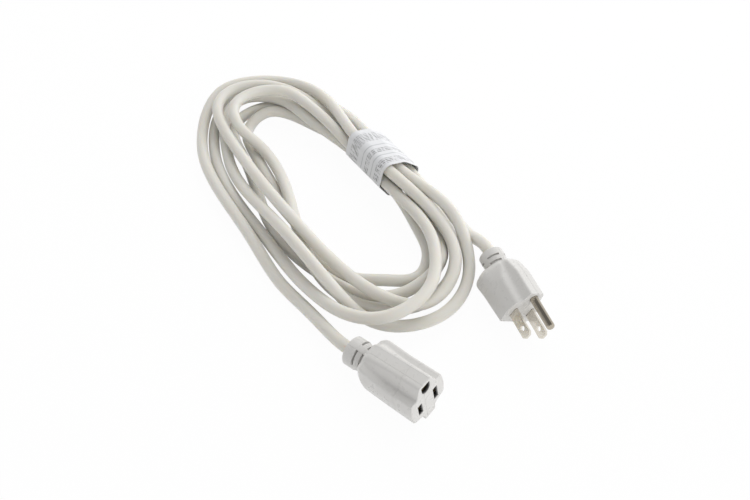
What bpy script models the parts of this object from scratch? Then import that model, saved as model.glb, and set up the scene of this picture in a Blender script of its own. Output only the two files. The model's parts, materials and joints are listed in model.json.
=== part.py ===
"""Three-conductor extension cord, put away as a wrapped hank.

The cord runs from the plug through six and a half turns of the hank to the connector.
Every size is in metres. +Z is up, +X runs along the hank towards the plug and connector.
"""
from math import atan2, cos, hypot, pi, radians, sin, sqrt

import bmesh
import bpy
import numpy as np
from mathutils import Matrix, Vector

MM = 0.001

# ---- Clearances ----
SEAT_GAP = 0.3 * MM            # between pieces that touch
TURN_GAP = 0.45 * MM           # between two turns of the cord

# ---- Cord ----
WIRE_DIAMETER = 2.4 * MM       # one insulated conductor
STRAND_DIAMETER = 1.4 * MM     # its bare copper end
JACKET_WALL = 0.77 * MM        # vinyl outside the three conductors
CORD_STEP = 20.5 * MM          # between points of the route: 24 in a turn
TIGHTEST_BEND = 22.0 * MM      # radius of the cord's axis

# ---- Blades and pin of the grounded plug pattern ----
BLADE_SPACING = 12.7 * MM
BLADE_WIDTH = 6.35 * MM
BLADE_THICKNESS = 1.52 * MM
BLADE_LENGTH = 17.5 * MM
BLADE_CHAMFER = 1.5 * MM
BLADE_HOLE = 3.2 * MM
BLADE_HOLE_PLACE = 5.8 * MM    # behind the tip
GROUND_OFFSET = 11.9 * MM      # pin axis above the line of the blades
PIN_DIAMETER = 4.8 * MM
PIN_LENGTH = 21.0 * MM
PIN_ROUNDING = 1.6 * MM
PIN_SHANK = 2.8 * MM           # the pin is thinner inside the plug

# ---- Crimps ----
CRIMP_WALL = 0.6 * MM
CRIMP_LENGTH = 4.5 * MM
CRIMP_OPENING = radians(60)
TAIL_WIDTH = 2.1 * MM
TAIL_LENGTH = 2.0 * MM
CRIMP_OVERLAP = 1.0 * MM       # tail inside the piece it belongs to
STRAND_SHOWN = 0.5 * MM        # copper past the front of its crimp
WIRE_STRAIGHT = 1.0 * MM       # each end of a conductor before it bends

# ---- Both mouldings ----
FACE_ROUNDING = 0.6 * MM
COLLAR_NECK_WALL = 3.2 * MM
COLLAR_ROUNDING = 0.9 * MM
COLLAR_SLOT_WIDTH = 1.2 * MM
COLLAR_SLOT_FLOOR = 1.9 * MM   # vinyl between a slot and the jacket
COLLAR_SLOT_ARC = radians(62)
COLLAR_SLOT_PITCH = 3.9 * MM
COLLAR_SLOTS_ROUND = 4
LOBE_CHAMFER = 1.2 * MM        # on the ground lobe of the inner blocks

# ---- Plug ----
PLUG_LENGTH = 42.5 * MM
PLUG_AXIS = 1.5 * MM           # cord's axis above the line of the blades
PLUG_SIDE = 5.65 * MM          # vinyl outside the middle of a blade
PLUG_CROWN = 1.4 * MM          # vinyl over the pin
PLUG_FOOT = 5.1 * MM           # vinyl under the edge of a blade
PLUG_COLLAR_LENGTH = 11.5 * MM
PLUG_COLLAR_WALL = 3.8 * MM    # at the rim
PLUG_COLLAR_RIM = 4.6 * MM     # unslotted end of the collar
PLUG_BLOCK_FRONT = 2.0 * MM
PLUG_BLOCK_LENGTH = 10.5 * MM
PLUG_BLOCK_WALL = 1.5 * MM
PLUG_BLOCK_CROWN = 0.2 * MM
PLUG_WIRE_RUN = 9.6 * MM       # conductor between its crimp and the jacket
PLUG_YAW = radians(-13.2)
PLUG_ROLL = radians(-28.6)
PLUG_PITCH = radians(-3.8)
PLUG_FACE = (134.2 * MM, 42.9 * MM)         # blade line on the face, in the hank's frame

# ---- Connector ----
CONNECTOR_LENGTH = 52.2 * MM
CONNECTOR_AXIS = 3.0 * MM      # cord's axis above the line of the slots
CONNECTOR_SIDE = 7.45 * MM     # vinyl outside the middle of a slot
CONNECTOR_CROWN = 2.15 * MM    # vinyl over the sleeve for the pin
CONNECTOR_FOOT = 9.1 * MM      # vinyl under the end of a slot
CONNECTOR_COLLAR_LENGTH = 13.7 * MM
CONNECTOR_COLLAR_WALL = 5.0 * MM
CONNECTOR_COLLAR_RIM = 6.3 * MM
FRONT_BLOCK_DEPTH = 12.0 * MM  # face to parting line
CORE_LENGTH = 12.0 * MM        # front block's core inside the overmould
CORE_WALL = 0.9 * MM
FRONT_WALL = 1.7 * MM
CONNECTOR_YAW = radians(15.1)
CONNECTOR_ROLL = radians(6.2)
CONNECTOR_PITCH = radians(5.3)  # its foot slopes, so the face leans back when it lies on it
CONNECTOR_FACE = (151.6 * MM, -36.0 * MM)
SLOT_WIDTH = 2.3 * MM
LINE_SLOT_LENGTH = 6.9 * MM
NEUTRAL_SLOT_LENGTH = 8.4 * MM
GROUND_HOLE_WIDTH = 5.4 * MM
LEAF_THICKNESS = 0.5 * MM
LEAF_GAP = 1.5 * MM
CONTACT_LENGTH = 15.0 * MM
SLEEVE_WALL = 0.5 * MM
SLEEVE_BORE = 4.9 * MM
SLEEVE_SLIT = radians(50)
CONNECTOR_WIRE_RUN = 13.0 * MM

# ---- Paper wrap ----
WRAP_LENGTH = 39.0 * MM
WRAP_THICKNESS = 0.2 * MM
WRAP_LAP = 9.0 * MM
WRAP_CENTRE_X = -12.0 * MM
WRAP_ROOM = 0.5 * MM           # between the cords and the paper
WRAP_REST = 0.1 * MM           # between the paper and the surface
WRAP_ROUNDNESS = 0.85          # 1 makes its upper side a circle, 0 leaves it flat between cords

# ---- Where the hank's frame lies in the part's frame ----
HANK_OFFSET = (-7.17 * MM, -3.58 * MM)

# ---- Worked out from the sizes above ----
WIRE_TRIAD = (WIRE_DIAMETER + 2 * SEAT_GAP) / sqrt(3)   # each conductor from the cord's axis
CORD_RADIUS = WIRE_TRIAD + WIRE_DIAMETER / 2 + JACKET_WALL
CORD_DIAMETER = 2 * CORD_RADIUS
JACKET_BORE = CORD_RADIUS + 1.2 * SEAT_GAP
CRIMP_BORE = STRAND_DIAMETER / 2 + SEAT_GAP
CRIMP_RADIUS = CRIMP_BORE + CRIMP_WALL
SLEEVE_RADIUS = SLEEVE_BORE / 2 + SLEEVE_WALL
PLUG_BARREL = PLUG_BLOCK_FRONT + PLUG_BLOCK_LENGTH + SEAT_GAP + CRIMP_OVERLAP + TAIL_LENGTH
PLUG_JACKET = PLUG_BARREL + CRIMP_LENGTH + PLUG_WIRE_RUN + 3 * SEAT_GAP   # behind the face
CONNECTOR_BARREL = FRONT_WALL + SEAT_GAP + CONTACT_LENGTH + TAIL_LENGTH
CONNECTOR_JACKET = CONNECTOR_BARREL + CRIMP_LENGTH + CONNECTOR_WIRE_RUN + 3 * SEAT_GAP
PITCH = CORD_DIAMETER + TURN_GAP
LAYER = PITCH * sin(radians(60))
WRAP_LIFT = WRAP_ROOM + WRAP_THICKNESS + WRAP_REST   # cords in the wrap lie this much higher

# The outermost turn passes thirteen stations: place in the hank's frame and way inwards.
STATIONS = (
    ((-32 * MM, 56.5 * MM), (0.0, -1.0)),     # 0 wrap, left end
    ((-85 * MM, 54.5 * MM), (0.1, -1.0)),     # 1 upper left
    ((-122 * MM, 35 * MM), (0.7, -0.7)),      # 2 left end, high
    ((-137 * MM, 0 * MM), (1.0, 0.0)),        # 3 left end
    ((-120 * MM, -27 * MM), (0.6, 0.8)),      # 4 left end, low
    ((-85 * MM, -43 * MM), (0.15, 1.0)),      # 5 lower left
    ((0 * MM, -50.5 * MM), (0.0, 1.0)),       # 6 bottom
    ((60 * MM, -48 * MM), (0.0, 1.0)),        # 7 lower right
    ((92 * MM, -30 * MM), (-0.7, 0.7)),       # 8 right end, low
    ((103.5 * MM, 8 * MM), (-1.0, 0.0)),      # 9 right end
    ((90 * MM, 44 * MM), (-0.7, -0.7)),       # 10 right end, high
    ((55 * MM, 61 * MM), (-0.1, -1.0)),       # 11 upper right
    ((8 * MM, 57.5 * MM), (0.0, -1.0)),       # 12 wrap, right end
)

WRAP_LEFT = 0                                 # numbers of the stations at the wrap's ends
WRAP_RIGHT = len(STATIONS) - 1

# Seven cords lie in the wrap, in rows of two, three and two: (lane inwards, layer).
WRAP_PLACES = {
    "low_outer": (0.5, 0), "low_inner": (1.5, 0),
    "mid_outer": (0, 1), "mid_middle": (1, 1), "mid_inner": (2, 1),
    "top_outer": (0.5, 2), "top_inner": (1.5, 2),
}

# Each turn leaves the wrap at one place, passes stations 1 to 11 in its lane (in cord pitches
# inside the outermost turn) and layer (0 lies on the surface), and comes back at another place.
TURNS = (
    ("mid_outer", (1.85, 2, 3, 2.8, 3.35, 1.4, 2.25, 2.15, 2.2, 2.45, 2.5),
     (0, 0, 0, 0, 0, 0, 0, 0.3, 0.8, 0.9, 0), "low_outer"),
    ("low_outer", (2.4, 3, 4.4, 3.8, 3.7, 3.3, 3.9, 4.05, 3.15, 3.2, 3.15),
     (0, 0.6, 0.3, 0, 0, 0, 0, 0.3, 0, 0, 0), "low_inner"),
    ("low_inner", (2.8, 1.8, 2.1, 2.4, 2.35, 2.4, 2.7, 2.2, 0.3, -0.15, -0.1),
     (0.7, 0.4, 0.7, 0.6, 0.2, 2.4, 1.6, 0, 0.3, 0.3, 1.75), "top_outer"),
    ("top_outer", (-0.4, -0.95, 0.25, 1.05, 1.15, 1.1, 0.95, 0.5, 1.4, 2.75, 2.7),
     (0.4, 0, 0, 0, 0, 0, 0.7, 1.2, 1.1, 1, 1), "mid_inner"),
    ("mid_inner", (2.5, 2.2, 2.6, 2.2, 3.8, 2.7, 2.05, 2.4, 2.05, 2, 1.65),
     (2, 2.3, 2.1, 2, 1, 0.95, 0, 0, 0, 0.3, 0.5), "mid_middle"),
    ("mid_middle", (1.1, 0.65, 1.25, 2.15, 3.2, 3.3, 3.85, 3.05, 1.15, 1.05, 1.3),
     (1, 1, 1.1, 1.1, 0.7, 1.9, 1.1, 1, 0.3, 0.6, 0.9), "top_inner"),
)
# The last half turn leaves the wrap for the connector and passes stations 1 to 6.
LAST_TURN = ("top_inner", (0.65, 0.25, 0.5, 0.8, 0.5, 0), (1.4, 0.8, 0.8, 0.3, 0.3, 0.3))

# The two leads, chosen by hand in the hank's frame, each between the hank and a moulding.
PLUG_LEAD = ((76.0, 56.0, 11.5), (66.0, 59.0, 8.0), (54.0, 61.8, 5.2), (40.0, 61.5, 4.8),
             (24.0, 59.0, 8.0))
CONNECTOR_LEAD = ((30.0, -54.0, 3.7), (53.0, -53.2, 4.2), (74.0, -52.6, 7.4))

SETTLE_STEPS = 800


# ---------------------------------------------------------------- materials and meshes

def material(name, colour, roughness, metallic=0.0):
    """A plain material with the piece's own colour."""
    made = bpy.data.materials.new(name)
    made.use_nodes = True
    shader = made.node_tree.nodes["Principled BSDF"]
    shader.inputs["Base Color"].default_value = (*colour, 1.0)
    shader.inputs["Roughness"].default_value = roughness
    shader.inputs["Metallic"].default_value = metallic
    return made


def add_object(name, data, parent=None, look=None):
    """Link a new object, parented without an offset."""
    made = bpy.data.objects.new(name, data)
    bpy.context.scene.collection.objects.link(made)
    made.parent = parent
    if look:
        data.materials.append(look)
    return made


def add_mesh(name, bm, parent=None, look=None, sharp=radians(35)):
    """Turn a bmesh into an object whose faces point out and whose round faces are smooth."""
    bmesh.ops.recalc_face_normals(bm, faces=bm.faces)
    mesh = bpy.data.meshes.new(name)
    bm.to_mesh(mesh)
    bm.free()
    mesh.shade_smooth()
    mesh.set_sharp_from_angle(angle=sharp)
    return add_object(name, mesh, parent, look)


def add_section(bm, points):
    return [bm.verts.new(point) for point in points]


def loft(bm, sections):
    """Skin closed sections of equal point count, one after the other, and cap both ends."""
    rings = [add_section(bm, points) for points in sections]
    count = len(rings[0])
    for ring, following in zip(rings, rings[1:]):
        for i in range(count):
            j = (i + 1) % count
            bm.faces.new((ring[i], ring[j], following[j], following[i]))
    bm.faces.new(list(reversed(rings[0])))
    bm.faces.new(rings[-1])


def prism(bm, outline, x_from, x_to):
    """A prism along X with an outline of (y, z) points."""
    loft(bm, [[(x, y, z) for y, z in outline] for x in (x_from, x_to)])


def box_outline(y, z, width, height):
    half_y = width / 2
    half_z = height / 2
    return [(y - half_y, z - half_z), (y + half_y, z - half_z),
            (y + half_y, z + half_z), (y - half_y, z + half_z)]


def round_outline(y, z, radius, sides=16, start=0.0, sweep=2 * pi, closed=True):
    steps = sides if closed else sides - 1
    return [(y + radius * cos(start + sweep * i / steps), z + radius * sin(start + sweep * i / steps))
            for i in range(sides)]


def boolean(target, tool, operation="DIFFERENCE"):
    """Cut or join with a tool that stays out of the model."""
    tool.hide_render = True
    tool.display_type = "WIRE"
    modifier = target.modifiers.new(tool.name, "BOOLEAN")
    modifier.operation = operation
    modifier.solver = "EXACT"
    modifier.object = tool


# ---------------------------------------------------------------- route of the cord

def station_point(station, lane, layer, lift=0.0):
    """A point of a turn at a station: lanes count inwards, layers upwards."""
    place, inwards = STATIONS[station]
    length = hypot(*inwards)
    x, y = (place[k] + inwards[k] / length * lane * PITCH for k in (0, 1))
    return (x, y, CORD_RADIUS + lift + layer * LAYER)


def wrap_point(station, place):
    return station_point(station, *WRAP_PLACES[place], lift=WRAP_LIFT)


def moulding_frame(face, turns, sections):
    """Frame of a moulding that lies on the surface: origin on its face, +X out of the face."""
    yaw, roll, pitch = turns
    turn = (Matrix.Rotation(yaw, 4, "Z") @ Matrix.Rotation(-pitch, 4, "Y")
            @ Matrix.Rotation(roll, 4, "X"))
    height = -min((turn @ Vector(point)).z for section in sections for point in section)
    return Matrix.Translation((face[0], face[1], height)) @ turn


def lead_end(frame, jacket, length, axis):
    """Last points of a lead in a moulding: jacket end, cord end of the collar, run-in."""
    places = (-jacket, -length, -length - CORD_DIAMETER)
    return [tuple(frame @ Vector((x, 0, axis))) for x in places]


def smooth_curve(points, count):
    """A natural cubic spline through the points, sampled evenly along its chord length."""
    points = np.array(points)
    steps = np.maximum(np.linalg.norm(np.diff(points, axis=0), axis=1), 1e-6)
    knots = np.concatenate([[0], np.cumsum(steps)])
    size = len(points)
    system = np.eye(size)
    right = np.zeros((size, 3))
    for i in range(1, size - 1):
        before, after = steps[i - 1], steps[i]
        system[i, i - 1:i + 2] = (before, 2 * (before + after), after)
        right[i] = 6 * ((points[i + 1] - points[i]) / after - (points[i] - points[i - 1]) / before)
    bend = np.linalg.solve(system, right)
    at = np.linspace(0, knots[-1], count)
    k = np.clip(np.searchsorted(knots, at, side="right") - 1, 0, size - 2)
    step = steps[k][:, None]
    left = (knots[k + 1] - at)[:, None]
    past = (at - knots[k])[:, None]
    return (bend[k] * left ** 3 / (6 * step) + bend[k + 1] * past ** 3 / (6 * step)
            + (points[k] / step - bend[k] * step / 6) * left
            + (points[k + 1] / step - bend[k + 1] * step / 6) * past)


def even_points(curve, step, ends):
    """Points about a step apart along a finely sampled curve, between two places on it."""
    first, last = (int(np.argmin(np.linalg.norm(curve - np.array(end), axis=1))) for end in ends)
    curve = np.vstack([ends[0], curve[first + 1:last], ends[1]])
    lengths = np.linalg.norm(np.diff(curve, axis=0), axis=1)
    along = np.concatenate([[0], np.cumsum(lengths)])
    wanted = np.linspace(0, along[-1], int(round(along[-1] / step)) + 1)
    return np.stack([np.interp(wanted, along, curve[:, axis]) for axis in range(3)], axis=1)


def run_distances(points, first, second):
    """Nearest places and distance between pairs of straight runs of the route."""
    start = points[:-1]
    way = np.diff(points, axis=0)
    a, b = way[first], way[second]
    between = start[first] - start[second]
    aa, ab, bb = (a * a).sum(1), (a * b).sum(1), (b * b).sum(1)
    ac, bc = (a * between).sum(1), (b * between).sum(1)
    area = np.maximum(aa * bb - ab * ab, 1e-14)
    s = np.clip((ab * bc - bb * ac) / area, 0, 1)
    t = np.clip((ab * s + bc) / bb, 0, 1)
    s = np.clip((ab * t - ac) / aa, 0, 1)
    offset = between + a * s[:, None] - b * t[:, None]
    return s, t, offset, np.linalg.norm(offset, axis=1)


def far_pairs(count):
    """Pairs of runs that aren't neighbours along the cord."""
    return np.triu_indices(count - 1, 3)


def lowest_height(points):
    """Lowest height of the cord's axis: on the surface, or on the paper of the wrap."""
    beyond = np.abs(points[:, 0] - WRAP_CENTRE_X) - WRAP_LENGTH / 2
    lifted = np.clip(1.5 - beyond / CORD_STEP, 0, 1) * (points[:, 1] > 0)
    return CORD_RADIUS + WRAP_LIFT * lifted


def settle(route):
    """Push turns that lie too close apart, and keep the cord on or above the surface."""
    placed = route.copy()
    points = route.copy()
    count = len(points)
    all_first, all_second = far_pairs(count)
    free = np.ones((count, 1), dtype=bool)
    free[:3] = False
    free[-3:] = False
    for step in range(SETTLE_STEPS):
        if step % 10 == 0:
            near = run_distances(points, all_first, all_second)[3] < PITCH * 1.6
            first, second = all_first[near], all_second[near]
        # Early on, a push spreads along the cord and the cord sinks into free space.
        moved = points - placed
        spread = 0.5 if step < SETTLE_STEPS * 0.4 else 0.15 if step < SETTLE_STEPS * 0.7 else 0.0
        moved[1:-1] += spread * ((moved[:-2] + moved[2:]) / 2 - moved[1:-1])
        if step < SETTLE_STEPS * 0.4:
            moved[:, 2] -= 0.2 * MM
        points = np.where(free, placed + moved, points)
        # A bend that is too tight opens a little at each step.
        if step < SETTLE_STEPS * 0.8:
            towards = (points[:-2] + points[2:]) / 2 - points[1:-1]
            depth = np.linalg.norm(towards, axis=1)
            excess = np.clip(depth - CORD_STEP ** 2 / (2 * TIGHTEST_BEND), 0, None)
            open_up = towards * (excess / np.maximum(depth, 1e-9))[:, None] * 0.25
            relaxed = points.copy()
            relaxed[1:-1] += open_up
            relaxed[:-2] -= open_up / 2
            relaxed[2:] -= open_up / 2
            points = np.where(free, relaxed, points)
        points[:, 2] = np.maximum(points[:, 2], lowest_height(points))
        for _ in range(3):
            s, t, offset, distance = run_distances(points, first, second)
            close = distance < PITCH
            if not close.any():
                break
            i, j, s, t = first[close], second[close], s[close], t[close]
            gap = distance[close]
            push = ((PITCH * 1.0005 - gap) / np.maximum(gap, 1e-9) / 2)[:, None] * offset[close]
            shift = np.zeros_like(points)
            weight = np.zeros(count)
            for index, share, sign in ((i, 1 - s, 1), (i + 1, s, 1), (j, 1 - t, -1), (j + 1, t, -1)):
                np.add.at(shift, index, (sign * share)[:, None] * push)
                np.add.at(weight, index, share)
            shift *= 1.5 / np.maximum(weight, 0.6)[:, None]
            points = np.where(free, points + shift, points)
            points[:, 2] = np.maximum(points[:, 2], lowest_height(points))
    return points


def cord_route(plug_frame, connector_frame):
    """The whole cord from the plug to the connector, in the hank's frame."""
    points = lead_end(plug_frame, PLUG_JACKET, PLUG_LENGTH, PLUG_AXIS)
    points += [tuple(value * MM for value in point) for point in PLUG_LEAD]
    points.append(wrap_point(WRAP_RIGHT, TURNS[0][0]))
    for leaving, lanes, layers, coming in TURNS:
        points.append(wrap_point(WRAP_LEFT, leaving))
        points += [station_point(k + 1, lanes[k], layers[k]) for k in range(len(lanes))]
        points.append(wrap_point(WRAP_RIGHT, coming))
    leaving, lanes, layers = LAST_TURN
    points.append(wrap_point(WRAP_LEFT, leaving))
    points += [station_point(k + 1, lanes[k], layers[k]) for k in range(len(lanes))]
    points += [tuple(value * MM for value in point) for point in CONNECTOR_LEAD]
    points += reversed(lead_end(connector_frame, CONNECTOR_JACKET, CONNECTOR_LENGTH,
                                CONNECTOR_AXIS))
    outside = even_points(smooth_curve(points, 6000), CORD_STEP, (points[2], points[-3]))
    return np.vstack([points[0], settle(outside), points[-1]])


# ---------------------------------------------------------------- cord, leads and wrap

def split_run(route, index):
    """Both sides of a butt joint in the middle of a straight run of the route."""
    middle = (route[index] + route[index + 1]) / 2
    way = route[index + 1] - route[index]
    half_gap = way / np.linalg.norm(way) * SEAT_GAP / 2
    return middle - half_gap, middle + half_gap


def nearest_index(route, place, among):
    distances = [np.linalg.norm(route[i] - place) for i in among]
    return among[int(np.argmin(distances))]


def tube(name, points, sides_step, parent, look):
    """A cord as a bevelled curve with filled caps."""
    curve = bpy.data.curves.new(name, "CURVE")
    curve.dimensions = "3D"
    curve.bevel_depth = CORD_RADIUS
    curve.bevel_resolution = sides_step
    curve.use_fill_caps = True
    curve.twist_mode = "MINIMUM"
    spline = curve.splines.new("POLY")
    spline.points.add(len(points) - 1)
    for point, place in zip(spline.points, points):
        point.co = (*place, 1.0)
    return add_object(name, curve, parent, look)


def build_cord(route, hank, look):
    """The lead to the plug, the turns of the hank and the lead to the connector."""
    last_station = station_point(len(LAST_TURN[1]), LAST_TURN[1][-1], 0)
    start = nearest_index(route, wrap_point(WRAP_RIGHT, TURNS[0][0]), range(0, 16))
    end = nearest_index(route, last_station, range(len(route) - 16, len(route) - 1))
    lead_stop, hank_start = split_run(route, start)
    hank_stop, lead_start = split_run(route, end)
    tube("cord_plug_lead", [*route[:start + 1], lead_stop], 3, hank, look)
    tube("cord_hank", [hank_start, *route[start + 1:end + 1], hank_stop], 1, hank, look)
    tube("cord_connector_lead", [lead_start, *route[end + 1:]], 3, hank, look)


def wrapped_places(route):
    """Where the cords cross five planes of the wrap, as (y, z)."""
    places = []
    for share in (-0.5, -0.25, 0, 0.25, 0.5):
        x = WRAP_CENTRE_X + share * WRAP_LENGTH
        for a, b in zip(route, route[1:]):
            if (a[0] - x) * (b[0] - x) <= 0 and a[1] > 0:
                t = (x - a[0]) / (b[0] - a[0])
                places.append((a[1] + t * (b[1] - a[1]), a[2] + t * (b[2] - a[2])))
    return places


def build_wrap(route, hank, look):
    """A paper strip round the seven cords, lapped over itself underneath."""
    places = wrapped_places(route)
    middle_y, middle_z = (sum(place[k] for place in places) / len(places) for k in (0, 1))
    farthest = max(hypot(y - middle_y, z - middle_z) for y, z in places)
    lap_angle = WRAP_LAP / (2 * PITCH)
    start = radians(200)
    steps = 60
    sections = []
    for k in range(steps + 1):
        turned = (2 * pi + lap_angle) * k / steps
        angle = start + turned
        ramp = min(max((turned - 2 * pi + 0.6) / 0.6, 0.0), 1.0)
        inner = CORD_RADIUS + WRAP_ROOM + ramp * (WRAP_THICKNESS + SEAT_GAP)
        y, z = max(places, key=lambda p: p[0] * cos(angle) + p[1] * sin(angle))
        roundness = WRAP_ROUNDNESS * min(max(1 + 1.6 * sin(angle), 0.0), 1.0)
        y += roundness * (middle_y + farthest * cos(angle) - y)
        z += roundness * (middle_z + farthest * sin(angle) - z)
        section = []
        for side, radius in ((-1, inner), (1, inner), (1, inner + WRAP_THICKNESS),
                             (-1, inner + WRAP_THICKNESS)):
            x = WRAP_CENTRE_X + side * WRAP_LENGTH / 2
            section.append((x, y + radius * cos(angle), z + radius * sin(angle)))
        sections.append(section)
    bm = bmesh.new()
    loft(bm, sections)
    add_mesh("hank_wrap", bm, hank, look)


# ---------------------------------------------------------------- mouldings

# Corners of half an outline from the top down, with the ground lobe up: y in shares of the half
# width, z in shares of the height over the blade line, or of the depth under it. Each moulding
# has an outline at its face, one along its body and one before its collar.
CONNECTOR_OUTLINES = (
    ((0.362, 1), (0.543, 0.584), (0.899, 0.572), (1, 0.087), (0.92, -0.474), (0.464, -0.609),
     (0.341, -0.692), (0.297, -1)),
    ((0.366, 0.994), (0.543, 0.613), (0.906, 0.601), (0.986, 0.116), (0.899, -0.406),
     (0.522, -0.594), (0.377, -0.662), (0.293, -0.865)),
    ((0.37, 0.983), (0.551, 0.821), (0.87, 0.786), (0.971, 0.231), (0.87, -0.346), (0.58, -0.594),
     (0.435, -0.669), (0.29, -0.767)),
)
CONNECTOR_CORNERS = [size * MM for size in (1.6, 1.2, 1.5, 3.0, 1.5, 0.6, 0.6, 1.0)]
PLUG_OUTLINES = (
    ((0.425, 1), (0.55, 0.619), (0.867, 0.487), (1, 0.031), (0.892, -1)),
    ((0.425, 0.987), (0.55, 0.662), (0.933, 0.544), (1.1, 0.016), (1.013, -1.023)),
    ((0.425, 0.875), (0.55, 0.675), (0.69, 0.625), (1.2, 0), (1.133, -1.047)),
)
PLUG_CORNERS = [size * MM for size in (1.2, 1.5, 1.5, 2.5, 1.2)]
# Sections of a body from the face (0) to the collar (1), and on the connector from the parting
# line: (place, outline, scale about the cord's axis). Outline 0.5 is midway between the first two.
PLUG_BODY = ((0.317, 0.55, 1), (0.571, 1, 1), (0.698, 1.5, 1), (0.825, 2, 1), (0.905, 2, 0.95),
             (0.96, 2, 0.86), (0.99, 2, 0.74))
CONNECTOR_BODY = ((0, 0.6, 1), (0.3, 1, 1), (0.6, 1.57, 1), (0.83, 2, 1), (0.925, 2, 0.94),
                  (0.98, 2, 0.82))
FACE_SCALE = 0.965
CORNER_STEPS = 2               # straight runs that make a rounded corner
SIDE_SHARES = (0, 0.5)         # points along each side


def rounded_outline(corners, reaches):
    """A closed outline whose corners are cut back by their reach along both sides."""
    corners = [Vector(corner) for corner in corners]
    points = []
    starts = []
    ends = []
    for i, (corner, reach) in enumerate(zip(corners, reaches)):
        for places, other in ((starts, corners[i - 1]), (ends, corners[(i + 1) % len(corners)])):
            away = other - corner
            places.append(corner + away * min(reach / away.length, 0.45))
    for i, corner in enumerate(corners):
        for step in range(CORNER_STEPS):
            t = step / CORNER_STEPS
            points.append(starts[i] * (1 - t) ** 2 + corner * 2 * t * (1 - t) + ends[i] * t ** 2)
        following = starts[(i + 1) % len(corners)]
        points += [ends[i].lerp(following, share) for share in SIDE_SHARES]
    return [tuple(point) for point in points]


def body_section(outlines, reaches, extent, x, place, scale):
    """One cross-section of a body, blended between two of its outlines."""
    half_width, above, below, axis = extent
    first = min(int(place), len(outlines) - 2)
    share = place - first
    right = []
    for (y_from, z_from), (y_to, z_to) in zip(outlines[first], outlines[first + 1]):
        y = (y_from * (1 - share) + y_to * share) * half_width * scale
        z = z_from * (1 - share) + z_to * share
        z *= above if z > 0 else below
        right.append((y, (z - axis) * scale + axis))
    corners = right + [(-y, z) for y, z in reversed(right)]
    return [(x, y, z) for y, z in rounded_outline(corners, reaches + reaches[::-1])]


def collar_section(x, radius, axis, body):
    """A round cross-section of the collar, each point behind its own point of the body."""
    angles = [atan2(y, z - axis) for _, y, z in body]
    return [(x, radius * sin(a), axis + radius * cos(a)) for a in angles]


def moulding_sections(outlines, reaches, extent, body_start, body, length, collar):
    """All cross-sections of a moulding, from the face back to the cord end of its collar."""
    collar_length, collar_wall, collar_rim = collar
    neck = -length + collar_length
    sections = [body_section(outlines, reaches, extent, 0, 0, FACE_SCALE),
                body_section(outlines, reaches, extent, -FACE_ROUNDING, 0, 1)]
    for place, outline, scale in body:
        x = -body_start + (neck + body_start) * place
        sections.append(body_section(outlines, reaches, extent, x, outline, scale))
    last = sections[-1]
    rim = CORD_RADIUS + collar_wall
    for x, radius in ((neck, CORD_RADIUS + COLLAR_NECK_WALL), (-length + collar_rim, rim),
                      (-length + COLLAR_ROUNDING, rim), (-length, rim - COLLAR_ROUNDING)):
        sections.append(collar_section(x, radius, extent[-1], last))
    return sections


def plug_sections():
    extent = (BLADE_SPACING / 2 + PLUG_SIDE,
              GROUND_OFFSET + PIN_DIAMETER / 2 + SEAT_GAP + PLUG_CROWN,
              BLADE_WIDTH / 2 + SEAT_GAP + PLUG_FOOT, PLUG_AXIS)
    collar = (PLUG_COLLAR_LENGTH, PLUG_COLLAR_WALL, PLUG_COLLAR_RIM)
    return moulding_sections(PLUG_OUTLINES, PLUG_CORNERS, extent, 0, PLUG_BODY, PLUG_LENGTH, collar)


def connector_sections():
    extent = (BLADE_SPACING / 2 + CONNECTOR_SIDE,
              GROUND_OFFSET + SLEEVE_RADIUS + SEAT_GAP + CONNECTOR_CROWN,
              NEUTRAL_SLOT_LENGTH / 2 + CONNECTOR_FOOT, CONNECTOR_AXIS)
    collar = (CONNECTOR_COLLAR_LENGTH, CONNECTOR_COLLAR_WALL, CONNECTOR_COLLAR_RIM)
    return moulding_sections(CONNECTOR_OUTLINES, CONNECTOR_CORNERS, extent, FRONT_BLOCK_DEPTH,
                             CONNECTOR_BODY, CONNECTOR_LENGTH, collar)


def arc_band(y, z, inner, outer, start, sweep, steps):
    """Outline of part of a ring."""
    band = round_outline(y, z, outer, steps, start, sweep, False)
    return band + list(reversed(round_outline(y, z, inner, steps, start, sweep, False)))


def collar_slots(name, length, axis, wall, rim, parent):
    """Cutter for two rows of slots round a collar, between its top, bottom and sides."""
    bm = bmesh.new()
    outer = CORD_RADIUS + wall + SEAT_GAP
    inner = JACKET_BORE + COLLAR_SLOT_FLOOR
    for row in range(2):
        x_rear = -length + rim + SEAT_GAP + row * COLLAR_SLOT_PITCH
        for slot in range(COLLAR_SLOTS_ROUND):
            start = (slot + 0.5) * 2 * pi / COLLAR_SLOTS_ROUND - COLLAR_SLOT_ARC / 2
            outline = arc_band(0, axis, inner, outer, start, COLLAR_SLOT_ARC, 7)
            prism(bm, outline, x_rear, x_rear + COLLAR_SLOT_WIDTH)
    return add_mesh(name, bm, parent)


def lobed_outline(foot_half_width, foot_half_height, lobe_half_width, top, grow=0.0):
    """The T-shaped outline of an inner block: a wide foot with the ground lobe above it."""
    wide = foot_half_width + grow
    foot = foot_half_height + grow
    narrow = lobe_half_width + grow
    top += grow
    right = [(wide, -foot), (wide, foot), (narrow, foot), (narrow, top - LOBE_CHAMFER),
             (narrow - LOBE_CHAMFER, top)]
    return [(0, -foot), *right, (0, top), *((-y, z) for y, z in reversed(right))]


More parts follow.
